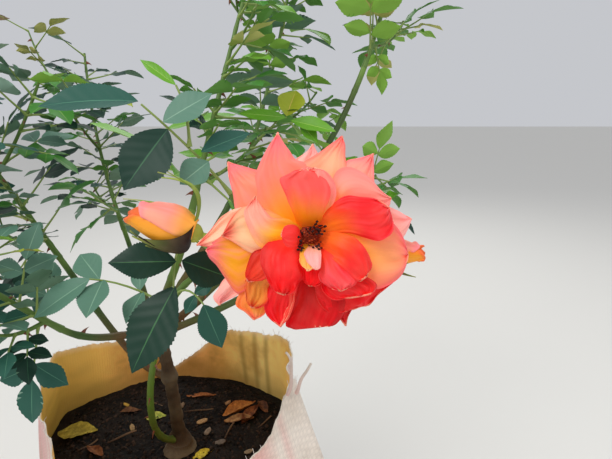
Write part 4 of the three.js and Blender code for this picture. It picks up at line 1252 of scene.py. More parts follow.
def leafletSheet(one, across, teeth, draws):
    rows = 2 * teeth + 1
    s, u = np.linspace(0, 1, rows)[:, None], np.asarray(across, float)[None, :]
    wide, far, odd = leafletOutline(s), np.abs(u), (np.arange(rows) % 2 == 1)[:, None]
    arc, swell = np.sin(np.pi * s), np.sin(np.pi * np.clip(far, 0, 1))
    tooth = 1 + leafShape["toothDepth"] * np.where(odd, 1, -1)
    tooth[0] = tooth[-1] = 1
    edge = far > 0.99
    spread = u * wide * np.where(edge, tooth, 1)
    lean = 0.07 * far * arc + np.where(edge & odd, 0.35 / rows, 0)
    along = np.clip(s + lean * (1 - s ** 3), 0, 1.0)
    arch, fold, twist, phase = draws
    length, half = one["length"], one["halfWidth"]
    rise = fold * np.abs(spread) * half - arch * length * along ** 2 + twist * spread * along * half
    rise += leafShape["quilt"] * np.where(odd, 1, -1) * swell * length / 50 * (wide > 0.05)
    if teeth == leafShape["shootTeeth"]:
        veins = np.sin(2 * np.pi * leafShape["sideVeins"] * (s - 0.15 * far)) * np.sqrt(swell) * (wide > 0.2)
        rise += leafShape["pucker"] * veins * length / 50
    rise += leafShape["waver"] * np.sin(9 * along + phase + 1.7 * np.sign(u)) * far ** 2 * arc
    return (
        one["root"] + (along * length)[..., None] * one["direction"] + (spread * half)[..., None] * one["side"]
        + rise[..., None] * one["normal"]
    )


def addLeaflet(store, one, detailed, random):
    draws = (
        leafShape["arch"] * mix(0.2, 1.6, random()), leafShape["fold"] * mix(0.3, 1.7, random()),
        0.5 * (random() - 0.5), 6.28 * random(),
    )
    half = np.array([leafShape["ribShare"], *leafShape["shootAcross" if detailed else "across"]])
    across = np.concatenate([-half[::-1], half])
    top = leafletSheet(one, across, leafShape["shootTeeth" if detailed else "teeth"], draws)
    faces, _ = gridFaces(top.shape[0], top.shape[1], False)
    last = len(across) - 2
    strip = np.arange(len(faces)) % (last + 1)
    store.add(top, faces, np.where(strip == last // 2, 2, 0))
    depth = leafShape["thick"] * (1 - np.abs(across) ** 3)
    under = top - depth[None, :, None] * one["normal"]
    store.add(under, faces[:, ::-1], np.where(detailed & ((strip == 0) | (strip == last)), 0, 1))


def leafMaterials(name):
    face, under, rib, roughness = leafTones[name]
    return [
        plainMaterial(f"leafFace{name}", face, roughness, 0.3),
        plainMaterial(f"leafUnderside{name}", under, 0.62, 0.3),
        plainMaterial(f"leafMidrib{name}", rib, 0.5, 0.35),
    ]


def addStalk(store, stalk, heavy):
    share = np.linspace(0, 1, 8)
    line = stalk.spaced(7) - 0.014 * stalk.length() * np.sin(np.pi * share)[:, None] * up
    radii = mix(leaf["rachisRoot"], leaf["rachisTip"], share) * heavy
    radii[0] *= 1.7
    addTube(store, line, radii, 5)


def makeLeaves():
    stores, stalks, twigs = {}, Store(), Store()
    random = makeRandom(leafShape["seed"])
    for name, mass in grownMasses.items():
        rows = [(made, massTones[name], 1.0) for made in mass["grown"] + mass["extra"]]
        rows += [(made, youngTones if random() < 0.6 else massTones[name], 0.75) for made in mass["young"]]
        fixed = dict(enumerate(fixedTones)) if name == "front" else {}
        for i, (made, chances, heavy) in enumerate(rows):
            key = fixed.get(i) or pick(chances, random())
            store = stores.setdefault(key, Store())
            for one in made["leaflets"]:
                target = stores.setdefault(one["tone"], Store()) if "tone" in one else store
                addLeaflet(target, one, name == "front" or "tone" in one, random)
            addStalk(stalks, made["stalk"], heavy)
        for one in mass["limbs"]:
            count = max(6, int(one["curve"].length() / 5))
            step = np.arange(count + 1)
            bumps = 1 + 0.16 * (step % 6 == 3) + 0.3 * np.exp(-step / 2)
            addTube(twigs, one["curve"].spaced(count), mix(*one["radii"], step / count) * bumps, 8)
    turns = np.linspace(-1, 1, 9)
    knob = clusterFork["centre"] + clusterFork["radius"] * turns[:, None] * up
    addTube(twigs, knob, clusterFork["radius"] * np.sqrt(np.clip(1 - turns ** 2, 0.03, 1)), 12)
    for key, store in stores.items():
        buildPiece("leaves" + key, store, leafMaterials(key))
    buildPiece("leafStalks", stalks, [plainMaterial("paleGreenStalk", "8da356", 0.5)])
    replaced = ["leaves_" + name for name in grownMasses]
    buildPiece("twigs", twigs, [plainMaterial("greenTwigBark", "5c7a34", 0.48)], replaced)


makeLeaves()
print("leaves made")

# The bloom, in millimetres right of and above its heart as seen from in front. Each petal is a row, from
# the outermost inward: paint, rise of its root, middle and tip, how far it domes, how far its edges roll
# back, its tip, then its two edges from the root toward the tip, the one anticlockwise of it first.
bloom = {
    "centre": (150, -219, 581), "facing": (-0.01, -0.963, 0.27), "rootRadius": 3.4, "rootHeight": -15,
    "hipLength": 15, "hipRadius": 5.6, "rows": 44, "columns": 31, "thickness": 0.0004, "seenFrom": 215,
    "layers": {"Outer": 10, "Middle": 10, "Inner": 12},  # and the petals in each
    "smooth": (0.75, 0.45),  # ruffle and crease of most petals, then of those that are crumpled
    "creased": {
        "foldedRed": (1.3, 1.9), "crimson": (1.3, 1.1), "pinkRed": (1.3, 1.1), "redGold": (1.2, 1.2),
        "red": (1.2, 1.5), "deep": (0.6, 1.2), "flame": (1.3, 1.0), "goldRight": (0.9, 1.2), "gold": (0.9, 0.8),
        "cream": (0.9, 0.8), "coral": (0.8, 0.6),
    },
}
petalRows = [
    ("salmon", -15, 0, -12, 0, 3, (-38.4, 35),
     [(-3, -1), (-20, 4), (-33, 9), (-36, 20.4), (-37.8, 28)],
     [(-1, 3), (-8, 22), (-16, 30), (-25, 31.4), (-32, 33.3)]),
    ("blush", -15, -8, -15, 0, 1.5, (1.6, 43.5),
     [(-3, 2), (-8, 20), (-9, 31), (-6.2, 36.2), (-1.5, 39.8)],
     [(3, 2), (8, 20), (8, 31), (5, 37), (3.2, 40.5)]),
    ("rosyTip", -15, -2, -12, 0, 2.5, (30, 39),
     [(1, 3), (8, 22), (12, 31), (17.2, 35.6), (23.4, 37)],
     [(3, 1), (22, 8), (31, 18), (30.4, 26), (30.2, 32.7)]),
    ("blush", -15, -5, -13, 0, 2, (47.8, 8.2),
     [(3, 2), (20, 14), (32, 17), (37.8, 14), (42, 12)],
     [(3, -1), (22, -3), (36, -5), (43, -1), (46, 3.5)]),
    ("deep", -15, -5, -11, 0, 1.5, (17.1, -41.6),
     [(3, -2), (18, -22), (22, -30), (19.5, -35), (18, -38)],
     [(1, -4), (6, -22), (9, -32), (13, -36.6), (15, -39)]),
    ("blush", -15, -8, -15, 0, 1.5, (-42, -32.2),
     [(-2, -3), (-22, -20), (-33.4, -27.4), (-39.1, -30.4)],
     [(-3, -1), (-28, -12), (-39, -19.5), (-43, -25), (-45, -28.4)]),
    ("redTip", -15, -3, -9, 0, 2.5, (-52.8, -4.2),
     [(-3, -1), (-26, -4), (-38, -5), (-46, -5)],
     [(-2, 3), (-20, 14), (-33.5, 13.4), (-41, 9.3), (-47.1, 2.2)]),
    ("orangeTip", -15, -1, -9, 0, 2, (-25.8, -38.9),
     [(-1, -4), (-14, -24), (-19, -33), (-21.2, -36.7)],
     [(-3, -2), (-22, -15), (-31, -24), (-34.4, -31.8), (-30, -35)]),
    ("salmon", -15, 2, -10, 0, 3, (-14.9, 49),
     [(-3, 2), (-17, 8.5), (-23, 16), (-25.4, 22), (-25.7, 27.2), (-24, 33), (-19.8, 41.6)],
     [(2, 3), (6, 18), (4, 30), (-1, 34.5), (-6.4, 36.2), (-9.3, 40.4), (-12, 44)]),
    ("peach", -15, 0, -11, 0, 3, (15.4, 47.2),
     [(-1, 3), (-6, 22), (-5, 33), (-2.3, 35.4), (4.3, 39.4), (10, 43.6)],
     [(3, 2), (15, 12), (19, 24), (17.5, 33), (16.8, 38), (16.8, 43)]),
    ("rosy", -15, 5, -5, 1, 2, (38.2, 18.3),
     [(1, 3), (6, 15), (9.5, 24), (13, 31), (18.3, 32.9), (24.2, 30.6), (28.4, 27.6), (33.9, 21.6)],
     [(3, 1), (18, 5), (28, 8), (34, 10.5), (37.4, 14.4)]),
    ("goldRight", -15, 4, -7, 1, 2, (46, -8.5),
     [(3, 2), (20, 6), (32, 8.5), (39, 6.6), (43.4, 1), (45.4, -4.5)],
     [(2, -3), (12, -14), (22, -22), (31, -24.4), (38, -22), (43, -18), (45.4, -13)]),
    ("crimson", -15, 2, -8, 0, 1.5, (24, -32.4),
     [(3, -2), (22, -15), (34, -19), (40.3, -19.8), (36, -24), (31.9, -27.4), (28.6, -31.4)],
     [(0, -4), (2, -18), (3.5, -28), (7, -33.5), (12.5, -36.4), (17.5, -34.9)]),
    ("deep", -15, 0, -9, 0, 1.5, (2, -39.4),
     [(3, -4), (11, -18), (17, -28), (16.5, -35), (13.3, -40.2), (9.4, -41.8), (5.4, -38.8)],
     [(-2, -4), (-5, -18), (-7, -30), (-11, -40.6), (-8.4, -42.8), (-5, -43.2), (-1.6, -39.2)]),
    ("gold", -15, 2, -8, 0, 2.2, (-48.4, -6.3),
     [(-1, -4), (-20, -18), (-31, -26), (-34.6, -26), (-39.5, -19.3), (-43.4, -13.6), (-47, -10)],
     [(-3, 1), (-24, 6), (-34, 3), (-42, -0.1), (-46.6, -3.4)]),
    ("flame", -15, 4, -5, 0, 1.4, (-26.6, -33.3),
     [(-1, -4), (-12, -20), (-18.2, -23.6), (-19.4, -30), (-23, -33)],
     [(-3, -2), (-22, -13), (-29.6, -20), (-29.8, -27), (-28.8, -31.6)]),
    ("crimson", -15, 4, -6, 0, 1.6, (-13.3, -42),
     [(1, -4), (-4, -20), (-7.3, -31), (-9.6, -38.1)],
     [(-3, -3), (-17, -20), (-20.5, -29), (-20.9, -34), (-18, -38.8)]),
    ("coralFold", -12, 5, -4, 1, 0.6, (-13.4, -42.2),
     [(-2, -14), (-6, -25), (-6.9, -31), (-9.4, -38)],
     [(-5, -14), (-9, -26), (-9.6, -32), (-12, -37.6)]),
    ("cream", -15, 6, -3, 1, 1.5, (-41.1, 0.5),
     [(-3, -2), (-18, -8), (-27.3, -7.6), (-34.4, -3.4)],
     [(-2, 3), (-18, 12), (-28, 14.4), (-33.7, 12), (-38, 6)]),
    ("redWedge", -15, 7, -1, 1, 1, (-28.6, -21),
     [(-2, -4), (-14, -15), (-20.6, -20), (-24, -20.8)],
     [(-3, -1), (-18, -5), (-25.8, -7.1), (-28.6, -12), (-30, -18)]),
    ("creamPink", -13, 9, 2, 2.5, 1.6, (-25.2, 19),
     [(-3, -2), (-14, -5), (-22.2, -5.3), (-26.6, -0.5), (-28.9, 4.9), (-30.4, 9), (-30.2, 13)],
     [(-2, 3), (-9, 8), (-14, 8.6), (-18, 9.4), (-22, 14)]),
    ("rosy", -13, 10, 5, 2, 1.2, (2, 32.4),
     [(-3, 3), (-7, 12), (-9, 21), (-9, 28), (-4, 31.6)],
     [(4, 3), (10, 12), (12.4, 19), (12, 25), (8, 30.6)]),
    ("coral", -12, 12, 7, 2.5, 1.5, (-1.5, 31.4),
     [(-4.5, 3), (-8.4, 13), (-11.2, 19.7), (-14, 26.6), (-11.5, 28.7), (-6.9, 30.8)],
     [(4.5, 3.5), (7.6, 13.3), (9.8, 20.6), (8.4, 26), (4, 29.8)]),
    ("red", -12, 10, 3, 2, 1.8, (37.4, 13.8),
     [(0.5, 5), (7, 12.6), (13, 17), (18, 19.2), (24.5, 18.7), (31, 18)],
     [(5, -2), (12, 1.2), (19, 1.6), (26, -0.4), (33, -1.8), (38.4, 2), (39, 8)]),
    ("redGold", -12, 11, 4, 2.4, 1.6, (26.6, -18.6),
     [(4.6, 3), (9, 2.6), (15.2, 1.8), (21, -0.2), (25.5, -4.3), (28.4, -9.5), (29, -14)],
     [(1.5, -5), (8, -10), (14, -15), (18.3, -18.6), (22.6, -21)]),
    ("crimson", -13, 7, 0, 1, 1, (24, -27.6),
     [(3, -3), (14, -12), (26, -18), (31.6, -22), (30, -26)],
     [(1, -4), (6, -16), (6, -24), (11, -29), (18, -28.6)]),
    ("pinkRed", -13, 12, 4, 2.5, 1.2, (15, -25.2),
     [(2, -3), (9, -6), (15, -12), (19.4, -17), (22.4, -20.8), (19, -23.6)],
     [(1, -4), (5.2, -12), (4.6, -18), (6.5, -21.6), (10.4, -24)]),
    ("brightRed", -13, 9, 2, 1.5, 0.8, (0.6, -22.8),
     [(2, -3), (5.5, -14), (6.4, -20), (4, -22.6)],
     [(-1, -4), (-2.6, -14), (-3, -19.6), (-1.4, -22.2)]),
    ("foldedRed", -12, 12, 8, 2.2, 1.6, (-11.5, -27.2),
     [(0.5, -4), (-3.6, -10), (-2.4, -18.4), (-5, -22), (-7, -25.6)],
     [(-5, 1), (-12, 0.4), (-18, -1.7), (-22.4, -6), (-22.8, -12), (-20.8, -17), (-18.4, -22), (-16, -25.6)]),
    ("coralLobe", -6, 12, 12, 1.4, 0.6, (-13, 0.8),
     [(-3.5, -3), (-6.4, -4.8), (-10.2, -4.8), (-12.2, -2.4)],
     [(-3.5, 2), (-5.4, 4.8), (-8, 5.8), (-11.6, 4.8)]),
    ("ochre", -9, 9, 8, 0.5, 0.4, (-0.6, -15.8),
     [(2, -3), (3, -9), (2.6, -14)],
     [(-2.6, -3), (-4.4, -8), (-3.8, -13)]),
    ("shell", -8, 11, 12, 0.6, 0.8, (2.6, -15),
     [(4.2, -3.5), (5.4, -6), (5.7, -10), (5.2, -14.6)],
     [(0.4, -3.5), (-2.2, -7), (-2.2, -9), (-0.2, -12.6)]),
]
petalPaints = {  # root, middle, rim and side colours, where the root ends, the rim starts, the side's share
    "salmon": ("ffb414 ff8c6e ff7880 fb7c74", 0.33, 0.7, 0.55),
    "peach": ("ffb828 ffae84 fb6c6c fc8c7c", 0.34, 0.7, 0.55),
    "blush": ("ffd89a ffb6a6 ffa09c ffcabc", 0.2, 0.7, 0.4),
    "rosyTip": ("ffb060 ff9c88 f9767c ff8f86", 0.3, 0.7, 0.5),
    "redTip": ("ffcc8a ffc4a0 ee4048 ffa08c", 0.2, 0.8, 0.5),
    "orangeTip": ("f8a028 f09030 ff8468 ee6a38", 0.3, 0.84, 0.6),
    "rosy": ("ffa838 ff9686 ff8f88 ff7876", 0.3, 0.76, 0.6),
    "gold": ("f0a000 ee9a14 f0687c e4442c", 0.3, 0.66, 0.7),
    "goldRight": ("ffb53a fd9c66 f9686c f4605c", 0.42, 0.66, 1.0),
    "cream": ("f8b02a f6c692 e8443f ee7a68", 0.3, 0.7, 0.75),
    "creamPink": ("ffae18 fbaa92 ee5c50 f87a6a", 0.42, 0.8, 0.6),
    "coral": ("ff8a10 fb5650 ff6a66 f64a4c", 0.3, 0.86, 0.5),
    "red": ("fa7014 f22a2a fa5058 e81420", 0.26, 0.8, 0.6),
    "redGold": ("fa6410 f22c26 dc0c1c f8403e", 0.34, 0.84, 0.5),
    "crimson": ("e01410 e80812 fa3444 c8040c", 0.25, 0.88, 0.6),
    "deep": ("b00408 cc060e e41420 b00208", 0.2, 0.86, 0.6),
    "flame": ("f0902c e89a3c e83a24 d81c10", 0.3, 0.86, 0.9),
    "coralFold": ("e83024 f4483c ff7064 ff6a58", 0.2, 0.8, 0.5),
    "redWedge": ("e86018 e03418 d81408 c81404", 0.3, 0.8, 0.8),
    "pinkRed": ("f0381c fa4c50 f0283c e61a28", 0.35, 0.86, 0.6),
    "brightRed": ("d80800 ea060c f8141c cc0006", 0.3, 0.86, 0.5),
    "foldedRed": ("f8342a f0181a e4041c cc0000", 0.3, 0.82, 0.8),
    "coralLobe": ("f03020 fa3a38 ff6a60 f02828", 0.2, 0.9, 0.5),
    "ochre": ("f0a020 f8b850 fcc890 f09838", 0.3, 0.8, 0.4),
    "shell": ("f8a880 f8a8a0 fcbcb4 f08c88", 0.2, 0.8, 0.4),
    "budPink": ("ffb040 fa9a86 fa8f94 fb9a58", 0.22, 0.8, 0.5),
    "budGold": ("f0a020 f4a22c f4703c f08a28", 0.3, 0.9, 0.5),
}


def edgeCurve(points, count):  # a smooth line through the points, evenly stepped
    points = np.array(points, float)
    ends = np.vstack([2 * points[0] - points[1], points, 2 * points[-1] - points[-2]])
    line = []
    for a, b, c, d in zip(ends, ends[1:], ends[2:], ends[3:]):
        for t in np.linspace(0, 1, 12, endpoint=False):
            bend = (2 * a - 5 * b + 4 * c - d) * t * t + (3 * b - a - 3 * c + d) * t ** 3
            line.append(0.5 * (2 * b + (c - a) * t + bend))
    line = np.array([*line, points[-1]])
    return evenly(line, lengthsAlong(line), count)


def axisFrame(origin, axis):
    forward = unit(vec(*axis))
    right = unit(np.cross(up, forward))
    return {"origin": vec(*origin), "forward": forward, "right": right, "upward": np.cross(forward, right)}


def inFrame(place, x, y, z):
    x, y, z = np.broadcast_arrays(x, y, z)
    return (
        place["origin"] + x[..., None] * place["right"] + y[..., None] * place["upward"]
        + z[..., None] * place["forward"]
    )


def petalTint(paint, u, v, seed):
    colours, rootEnd, rimStart, sideShare = petalPaints[paint]
    root, middle, rim, side = colours.split()
    grain = mottle(u, v, seed, 2.1, 1.8)
    streak = mottle(u, v, seed + 5, 11, 1.3)
    soft = mottle(u, v, seed + 40, 0.8, 0.9)
    colour = dyed(root, middle, ramp(rootEnd - 0.12, rootEnd + 0.3, v + 0.1 * grain))
    edge = np.abs(u) ** 2.2 * sideShare * ramp(0.12, 0.5, v) * (1 + 1.2 * soft + 0.5 * grain)
    colour = dyed(colour, side, np.clip(edge, 0, 1))
    reach = np.maximum(v, 0.62 * v + 0.38 * np.abs(u)) + 0.08 * soft
    colour = dyed(colour, rim, ramp(rimStart, 1.0, reach + 0.06 * streak))
    colour = mix(colour, np.sqrt(colour) * tone(rim), 0.35 * np.clip(1.9 * soft, 0, 1)[..., None])
    blush = np.clip(1.7 * streak + 0.9 * grain, 0, 1) * ramp(0.25, 0.6, v)
    colour = dyed(colour, rim, 0.3 * blush)
    # painted highlight: a faint pale line along the petal's rim, where its edge catches the light
    edgeHighlight = ramp(0.975, 1.0, np.maximum(np.abs(u), v)) * ramp(0.2, 0.5, v)
    colour = dyed(colour, "ff9c8c", 0.06 * edgeHighlight)
    return np.clip(colour * (1 + 0.12 * streak + 0.1 * grain)[..., None], 0, 1)


def petalSheet(place, row, seed):
    paint, rootRise, middleRise, tipRise, dome, roll, tip, *edges = row
    across = np.sin(np.linspace(-1, 1, bloom["columns"]) * np.pi / 2)
    v, u = np.meshgrid(np.linspace(0, 1, bloom["rows"]), across, indexing="ij")
    before, after = (edgeCurve([*edge, tip], bloom["rows"]) for edge in edges)
    flat = mix(before[:, None], after[:, None], (u[..., None] + 1) / 2)
    far = v ** 0.72
    rise = (1 - far) ** 2 * rootRise + 2 * (1 - far) * far * middleRise + far * far * tipRise
    rise = rise + 0.6 * dome * (1 - u * u) * np.sin(np.pi * v ** 0.8)
    rolled = np.clip((np.abs(u) - 0.6) / 0.4, 0, 1) ** 2 * ramp(0.2, 0.7, v) + 0.8 * ramp(0.88, 1.0, v) ** 2
    rim = np.maximum(v ** 4, np.abs(u) ** 5 * ramp(0.15, 0.5, v))
    ruffle, crease = bloom["creased"].get(paint, bloom["smooth"])
    folds = 2.6 * mottle(u, v, seed, 1.5, 1.9) * ramp(0, 0.5, v)
    folds = folds + ruffle * mottle(u, v, seed + 3, 4.5, 5.5) * (2.4 * rim + 0.7 * v)
    folds = folds + crease * mottle(u, v, seed + 8, 7.5, 3.0) * v
    small = min(1.0, np.linalg.norm(vec(*tip) - edges[0][0]) / 30)
    rise = rise - 0.75 * roll * rolled + small * folds
    flat = flat * (1 - rise[..., None] / bloom["seenFrom"])
    return inFrame(place, flat[..., 0], flat[..., 1], rise), petalTint(paint, u, v, seed + 11)


def makeBloom():
    place = axisFrame(bloom["centre"], bloom["facing"])
    front, back = petalMaterial("velvetPetal", 0.48), petalMaterial("petalBack", 0.55, "ffc9a0")
    first = 0
    for layer, count in bloom["layers"].items():
        store = Store()
        for i in range(first, first + count):
            points, tint = petalSheet(place, petalRows[i], 7.3 * i)
            store.addGrid(points, tint=tint)
        first += count
        replaced = ["bloom"] if layer == "Inner" else []
        piece = buildPiece("petals" + layer, store, [front, back], replaced)
        thicken(piece, bloom["thickness"], 1)
    return place


def smoothProfile(points, count):
    points = np.array(points, float)
    shares = np.linspace(0, 1, len(points))
    wanted = np.linspace(0, 1, count)
    soft = np.array([np.interp(wanted, shares, points[:, k]) for k in range(2)]).T
    for _ in range(3):
        soft[1:-1] = 0.25 * soft[:-2] + 0.5 * soft[1:-1] + 0.25 * soft[2:]
    return soft


def addLathe(store, place, profile, sides, tintLow, tintHigh, wobble=0.0):
    turns = np.linspace(0, 2 * np.pi, sides, endpoint=False)
    radius = profile[:, :1] * (1 + wobble * np.sin(5 * turns))
    rings = inFrame(place, radius * np.cos(turns), radius * np.sin(turns), profile[:, 1:])
    share = np.broadcast_to(np.linspace(0, 1, len(profile))[:, None], radius.shape)
    store.addGrid(rings, closed=True, tint=dyed(tintLow, tintHigh, share))
    store.addFan(rings[0], rings[0].mean(axis=0), 0, tone(tintLow), outward=False)
    store.addFan(rings[-1], rings[-1].mean(axis=0), 0, tone(tintHigh))


sepalLook = {
    "rows": 22, "columns": 7, "fold": 0.35, "thickness": 0.6,
    # the dark sepal colour is near black: the sepals' own purple-brown, darkened further with painted shade
    "green": "6f8f34", "dark": "0d0805", "tip": "9ca64a",
    "lobeRows": 8, "lobeWidth": 1.1, "lobeReach": 13, "lobeFirst": 0.6, "lobeApart": 0.18,
}


def addSepal(store, place, angle, root, bend, tip, width, dark, lobes=2):
    # dark sepals: their own purple-brown, darkened to near black with painted shade
    tint = ("dark", 5) if dark else ("green", 2)

    def blade(curve, wide, rows, side):
        v, u = sheetMap(rows, sepalLook["columns"])
        middle = np.array([curve.point(share) for share in v[:, 0]])
        slope = np.array([curve.tangent(share) for share in v[:, 0]])
        narrow = mix(0.85, 1, np.sin(np.pi * np.clip(v / 0.5, 0, 1) / 2)) * np.clip(1 - v ** 1.6, 0.03, 1) ** 0.75
        sideways = u * 0.5 * wide * narrow + side * (0.28 * min(width, 9) + 4.2 * v)
        hollow = sepalLook["fold"] * min(wide, 6) * 0.5 * u * u * narrow
        colour = dyed(sepalLook[tint[0]], sepalLook["tip"], v ** tint[1])
        for hand in (1, -1):
            lift = hand * 0.5 * sepalLook["thickness"] * (1 - 0.7 * np.abs(u)) - hollow
            out, high = middle[:, :1] + slope[:, 1:] * lift, middle[:, 1:] - slope[:, :1] * lift
            turn = math.radians(angle) + sideways / np.maximum(out, 5)
            points = inFrame(place, out * np.cos(turn), out * np.sin(turn), high)
            store.addGrid(points[:, ::hand], tint=colour[:, ::hand])

    line = Curve(root, bend, tip)
    blade(line, width, sepalLook["rows"], 0)
    for k in range(lobes):
        at = sepalLook["lobeFirst"] + sepalLook["lobeApart"] * k
        start, along = line.point(at), line.tangent(at)
        lobe = Curve(start, start + along * 7, start + along * sepalLook["lobeReach"])
        blade(lobe, sepalLook["lobeWidth"], sepalLook["lobeRows"], 1 if k % 2 else -1)


def stalkCurve(away, target, arriving):
    out = unit(vec(*away))
    root = clusterFork["centre"] + out * (clusterFork["radius"] + gap)
    reach = np.linalg.norm(target - root)
    return Curve(root, root + 0.35 * reach * out, target - 0.35 * reach * arriving, target)


stalkLook = {"pale": "9aa944", "mid": "7d9436", "hipLow": "8aa03a", "hipHigh": "b5b24a"}


def addFlowerStalk(store, curve, radii):
    line = curve.spaced(int(curve.length() / 2))
    share = np.array([0, *np.linspace(0, 1, len(line))])
    line = np.vstack([line[0] - curve.tangent(0) * 2, line])
    addTube(store, line, mix(*radii, share), 12, dyed(stalkLook["mid"], stalkLook["pale"], share))


def makeBloomFoot(place):
    store = Store()
    low, length, radius = bloom["rootHeight"], bloom["hipLength"], bloom["hipRadius"]
    front = low + 1
    profile = [
        (1.7, -length), (0.72 * radius, -0.8 * length), (radius, -0.4 * length), (0.9 * radius, -1), (3.2, 0.5),
    ]
    rings = smoothProfile([(r, h + front) for r, h in profile], 22)
    addLathe(store, place, rings, 20, stalkLook["hipLow"], stalkLook["hipHigh"], 0.03)
    back = inFrame(place, 0, 0, front - length + 2)
    addFlowerStalk(store, stalkCurve((0.42, -0.4, 0.1), back, place["forward"]), (1.8, 1.7))
    for i in range(5):
        addSepal(store, place, 20 + 72 * i, (2.5, low - 2), (14, low - 2), (24, low - 14), 7, False)
    buildPiece("bloomFoot", store, [petalMaterial("flowerStalk", 0.5)])


# The heart: clumps of dark anthers on thin filaments and a mat of short styles, placed by Geometry Nodes
stamens = {"Length": 0.0082, "Anther": 0.00072, "Seed": 3}
stamenSpots = {  # right of and above the heart, spread, count
    "clumps": [
        (2.5, 2.7, 2.3, 22), (-3.9, 0.9, 1.3, 7), (-4.2, -1.6, 1.2, 6), (-3.4, -4.0, 1.4, 8), (2.7, -2.8, 1.4, 6),
        (-1.2, 1.6, 1.3, 4), (0.2, -4.4, 1.2, 3),
    ],
    "low": -7.0,
}
styles = {"Length": 0.0042, "Anther": 0.0006, "Seed": 8}
styleSpots = {"clumps": [(-0.4, -0.8, 4.4, 46)], "low": -6.6}
heartDome = [(5.4, -13.5), (6.8, -9.5), (5.6, -7.0), (3.0, -5.8), (0.6, -5.4)]


def stamenTree():
    inputs = {"Spots": "Geometry", **stamens, "Thread": "Material", "Dust": "Material"}
    group = Group("stamenTuft", "Geometry", inputs, {"Tuft": "Geometry"})
    start = group.start
    thread = group.tube((0, 0, 0), (0.02, 0.06, 0.6), (0.12, 0.04, 1.0), 5, 5, 0.03)
    radius = group.math("DIVIDE", start["Anther"], start["Length"])
    bead = group.node("GeometryNodeMeshIcoSphere", {"Subdivisions": 2, "Radius": radius}).outputs["Mesh"]
    sockets = {"Geometry": bead, "Translation": (0.12, 0.04, 1.02), "Scale": (1.0, 0.75, 1.35)}
    placed = group.node("GeometryNodeTransform", sockets).outputs[0]
    both = group.node("GeometryNodeJoinGeometry")
    group.put(group.painted(thread, start["Thread"]), both.inputs[0])
    group.put(group.painted(placed, start["Dust"]), both.inputs[0])
    long = group.math("MULTIPLY", group.drawn(0.65, 1.1), start["Length"])
    turn = group.aligned("aim", axis="Z")
    return group.give(Tuft=group.scattered(start["Spots"], both.outputs[0], turn, long))


def makeTuft(place, name, row, look, seed, threadColour, dustColour):
    random = makeRandom(seed)
    spots, aims = [], []
    for x, y, spread, count in row["clumps"]:
        for i in range(count):
            turn, far = math.radians(goldenTurn * i), spread * math.sqrt((i + 0.5) / count)
            flatX, flatY = x + far * math.cos(turn), y + far * math.sin(turn)
            tiltX = flatX * 0.05 + 0.25 * (random() - 0.5)
            tiltY = flatY * 0.05 + 0.25 * (random() - 0.5)
            aims.append(unit(tiltX * place["right"] + tiltY * place["upward"] + place["forward"]))
            spots.append(inFrame(place, flatX, flatY, row["low"] + 1.6 * random()))
    thread, dust = plainMaterial(name + "Thread", threadColour, 0.5), plainMaterial(name + "Dust", dustColour, 0.7)
    growPiece(name, stamenTree(), {**look, "Thread": thread, "Dust": dust}, spots, ways={"aim": aims})


def makeHeart(place):
    makeTuft(place, "stamens", stamenSpots, stamens, 61, "b8401a", "2a0d0a")
    makeTuft(place, "styles", styleSpots, styles, 67, "8a2c10", "b4481c")
    store = Store()
    addLathe(store, place, smoothProfile(heartDome, 12), 20, "7a1c08", "8e2a0e", 0.04)
    buildPiece("bloomHeart", store, [petalMaterial("heartDisc", 0.6)])


bloomPlace = makeBloom()
makeBloomFoot(bloomPlace)
makeHeart(bloomPlace)
print("bloom made")

# The buds: petals wrapped round a core, sepals and stalks
buds = {
    "left": {
        "base": (96, -201, 576.5), "tip": (60, -204, 589.5), "girth": 10.8, "leaves": (-0.62, -0.18, 0.76),
        "sepals": [
            (88, (31, 3), (22, 27), 9, False), (-61, (17.4, 0.5), (10.8, 32), 33, True),
            (200, (13, 14), (11.5, 36), 9, False), (98, (14, 10), (5.6, 42), 4, False),
        ],
        "wraps": [
            (-130, 88, 0.92, 0.97, "budGold"), (-50, 80, 0.97, 1, "budGold"),
            (205, 85, 1, 1, "budGold"), (62, 74, 1.05, 0.87, "budPink"),
        ],
    },
    "right": {
        "base": (182, -189, 565), "tip": (211, -198, 566), "girth": 7.4, "leaves": (0.93, -0.05, 0.36),
        "sepals": [
            (75, (9.6, 8), (6.6, 18), 7, False), (-150, (10, 10), (7.5, 22), 6, True),
            (-62, (16, 8), (19, 25), 4, True),
        ],
        "wraps": [
            (-60, 86, 0.93, 0.94, "budGold"), (60, 80, 0.96, 0.97, "budGold"),
            (-165, 80, 1, 1, "budGold"), (112, 56, 1.04, 0.9, "budPink"),
        ],
    },
}
budShape = ([0, 0.12, 0.3, 0.46, 0.66, 0.86, 1.0], [0.45, 0.76, 0.98, 1.0, 0.86, 0.6, 0.36])  # height, width


def budRadius(share):
    return np.interp(share, *budShape)


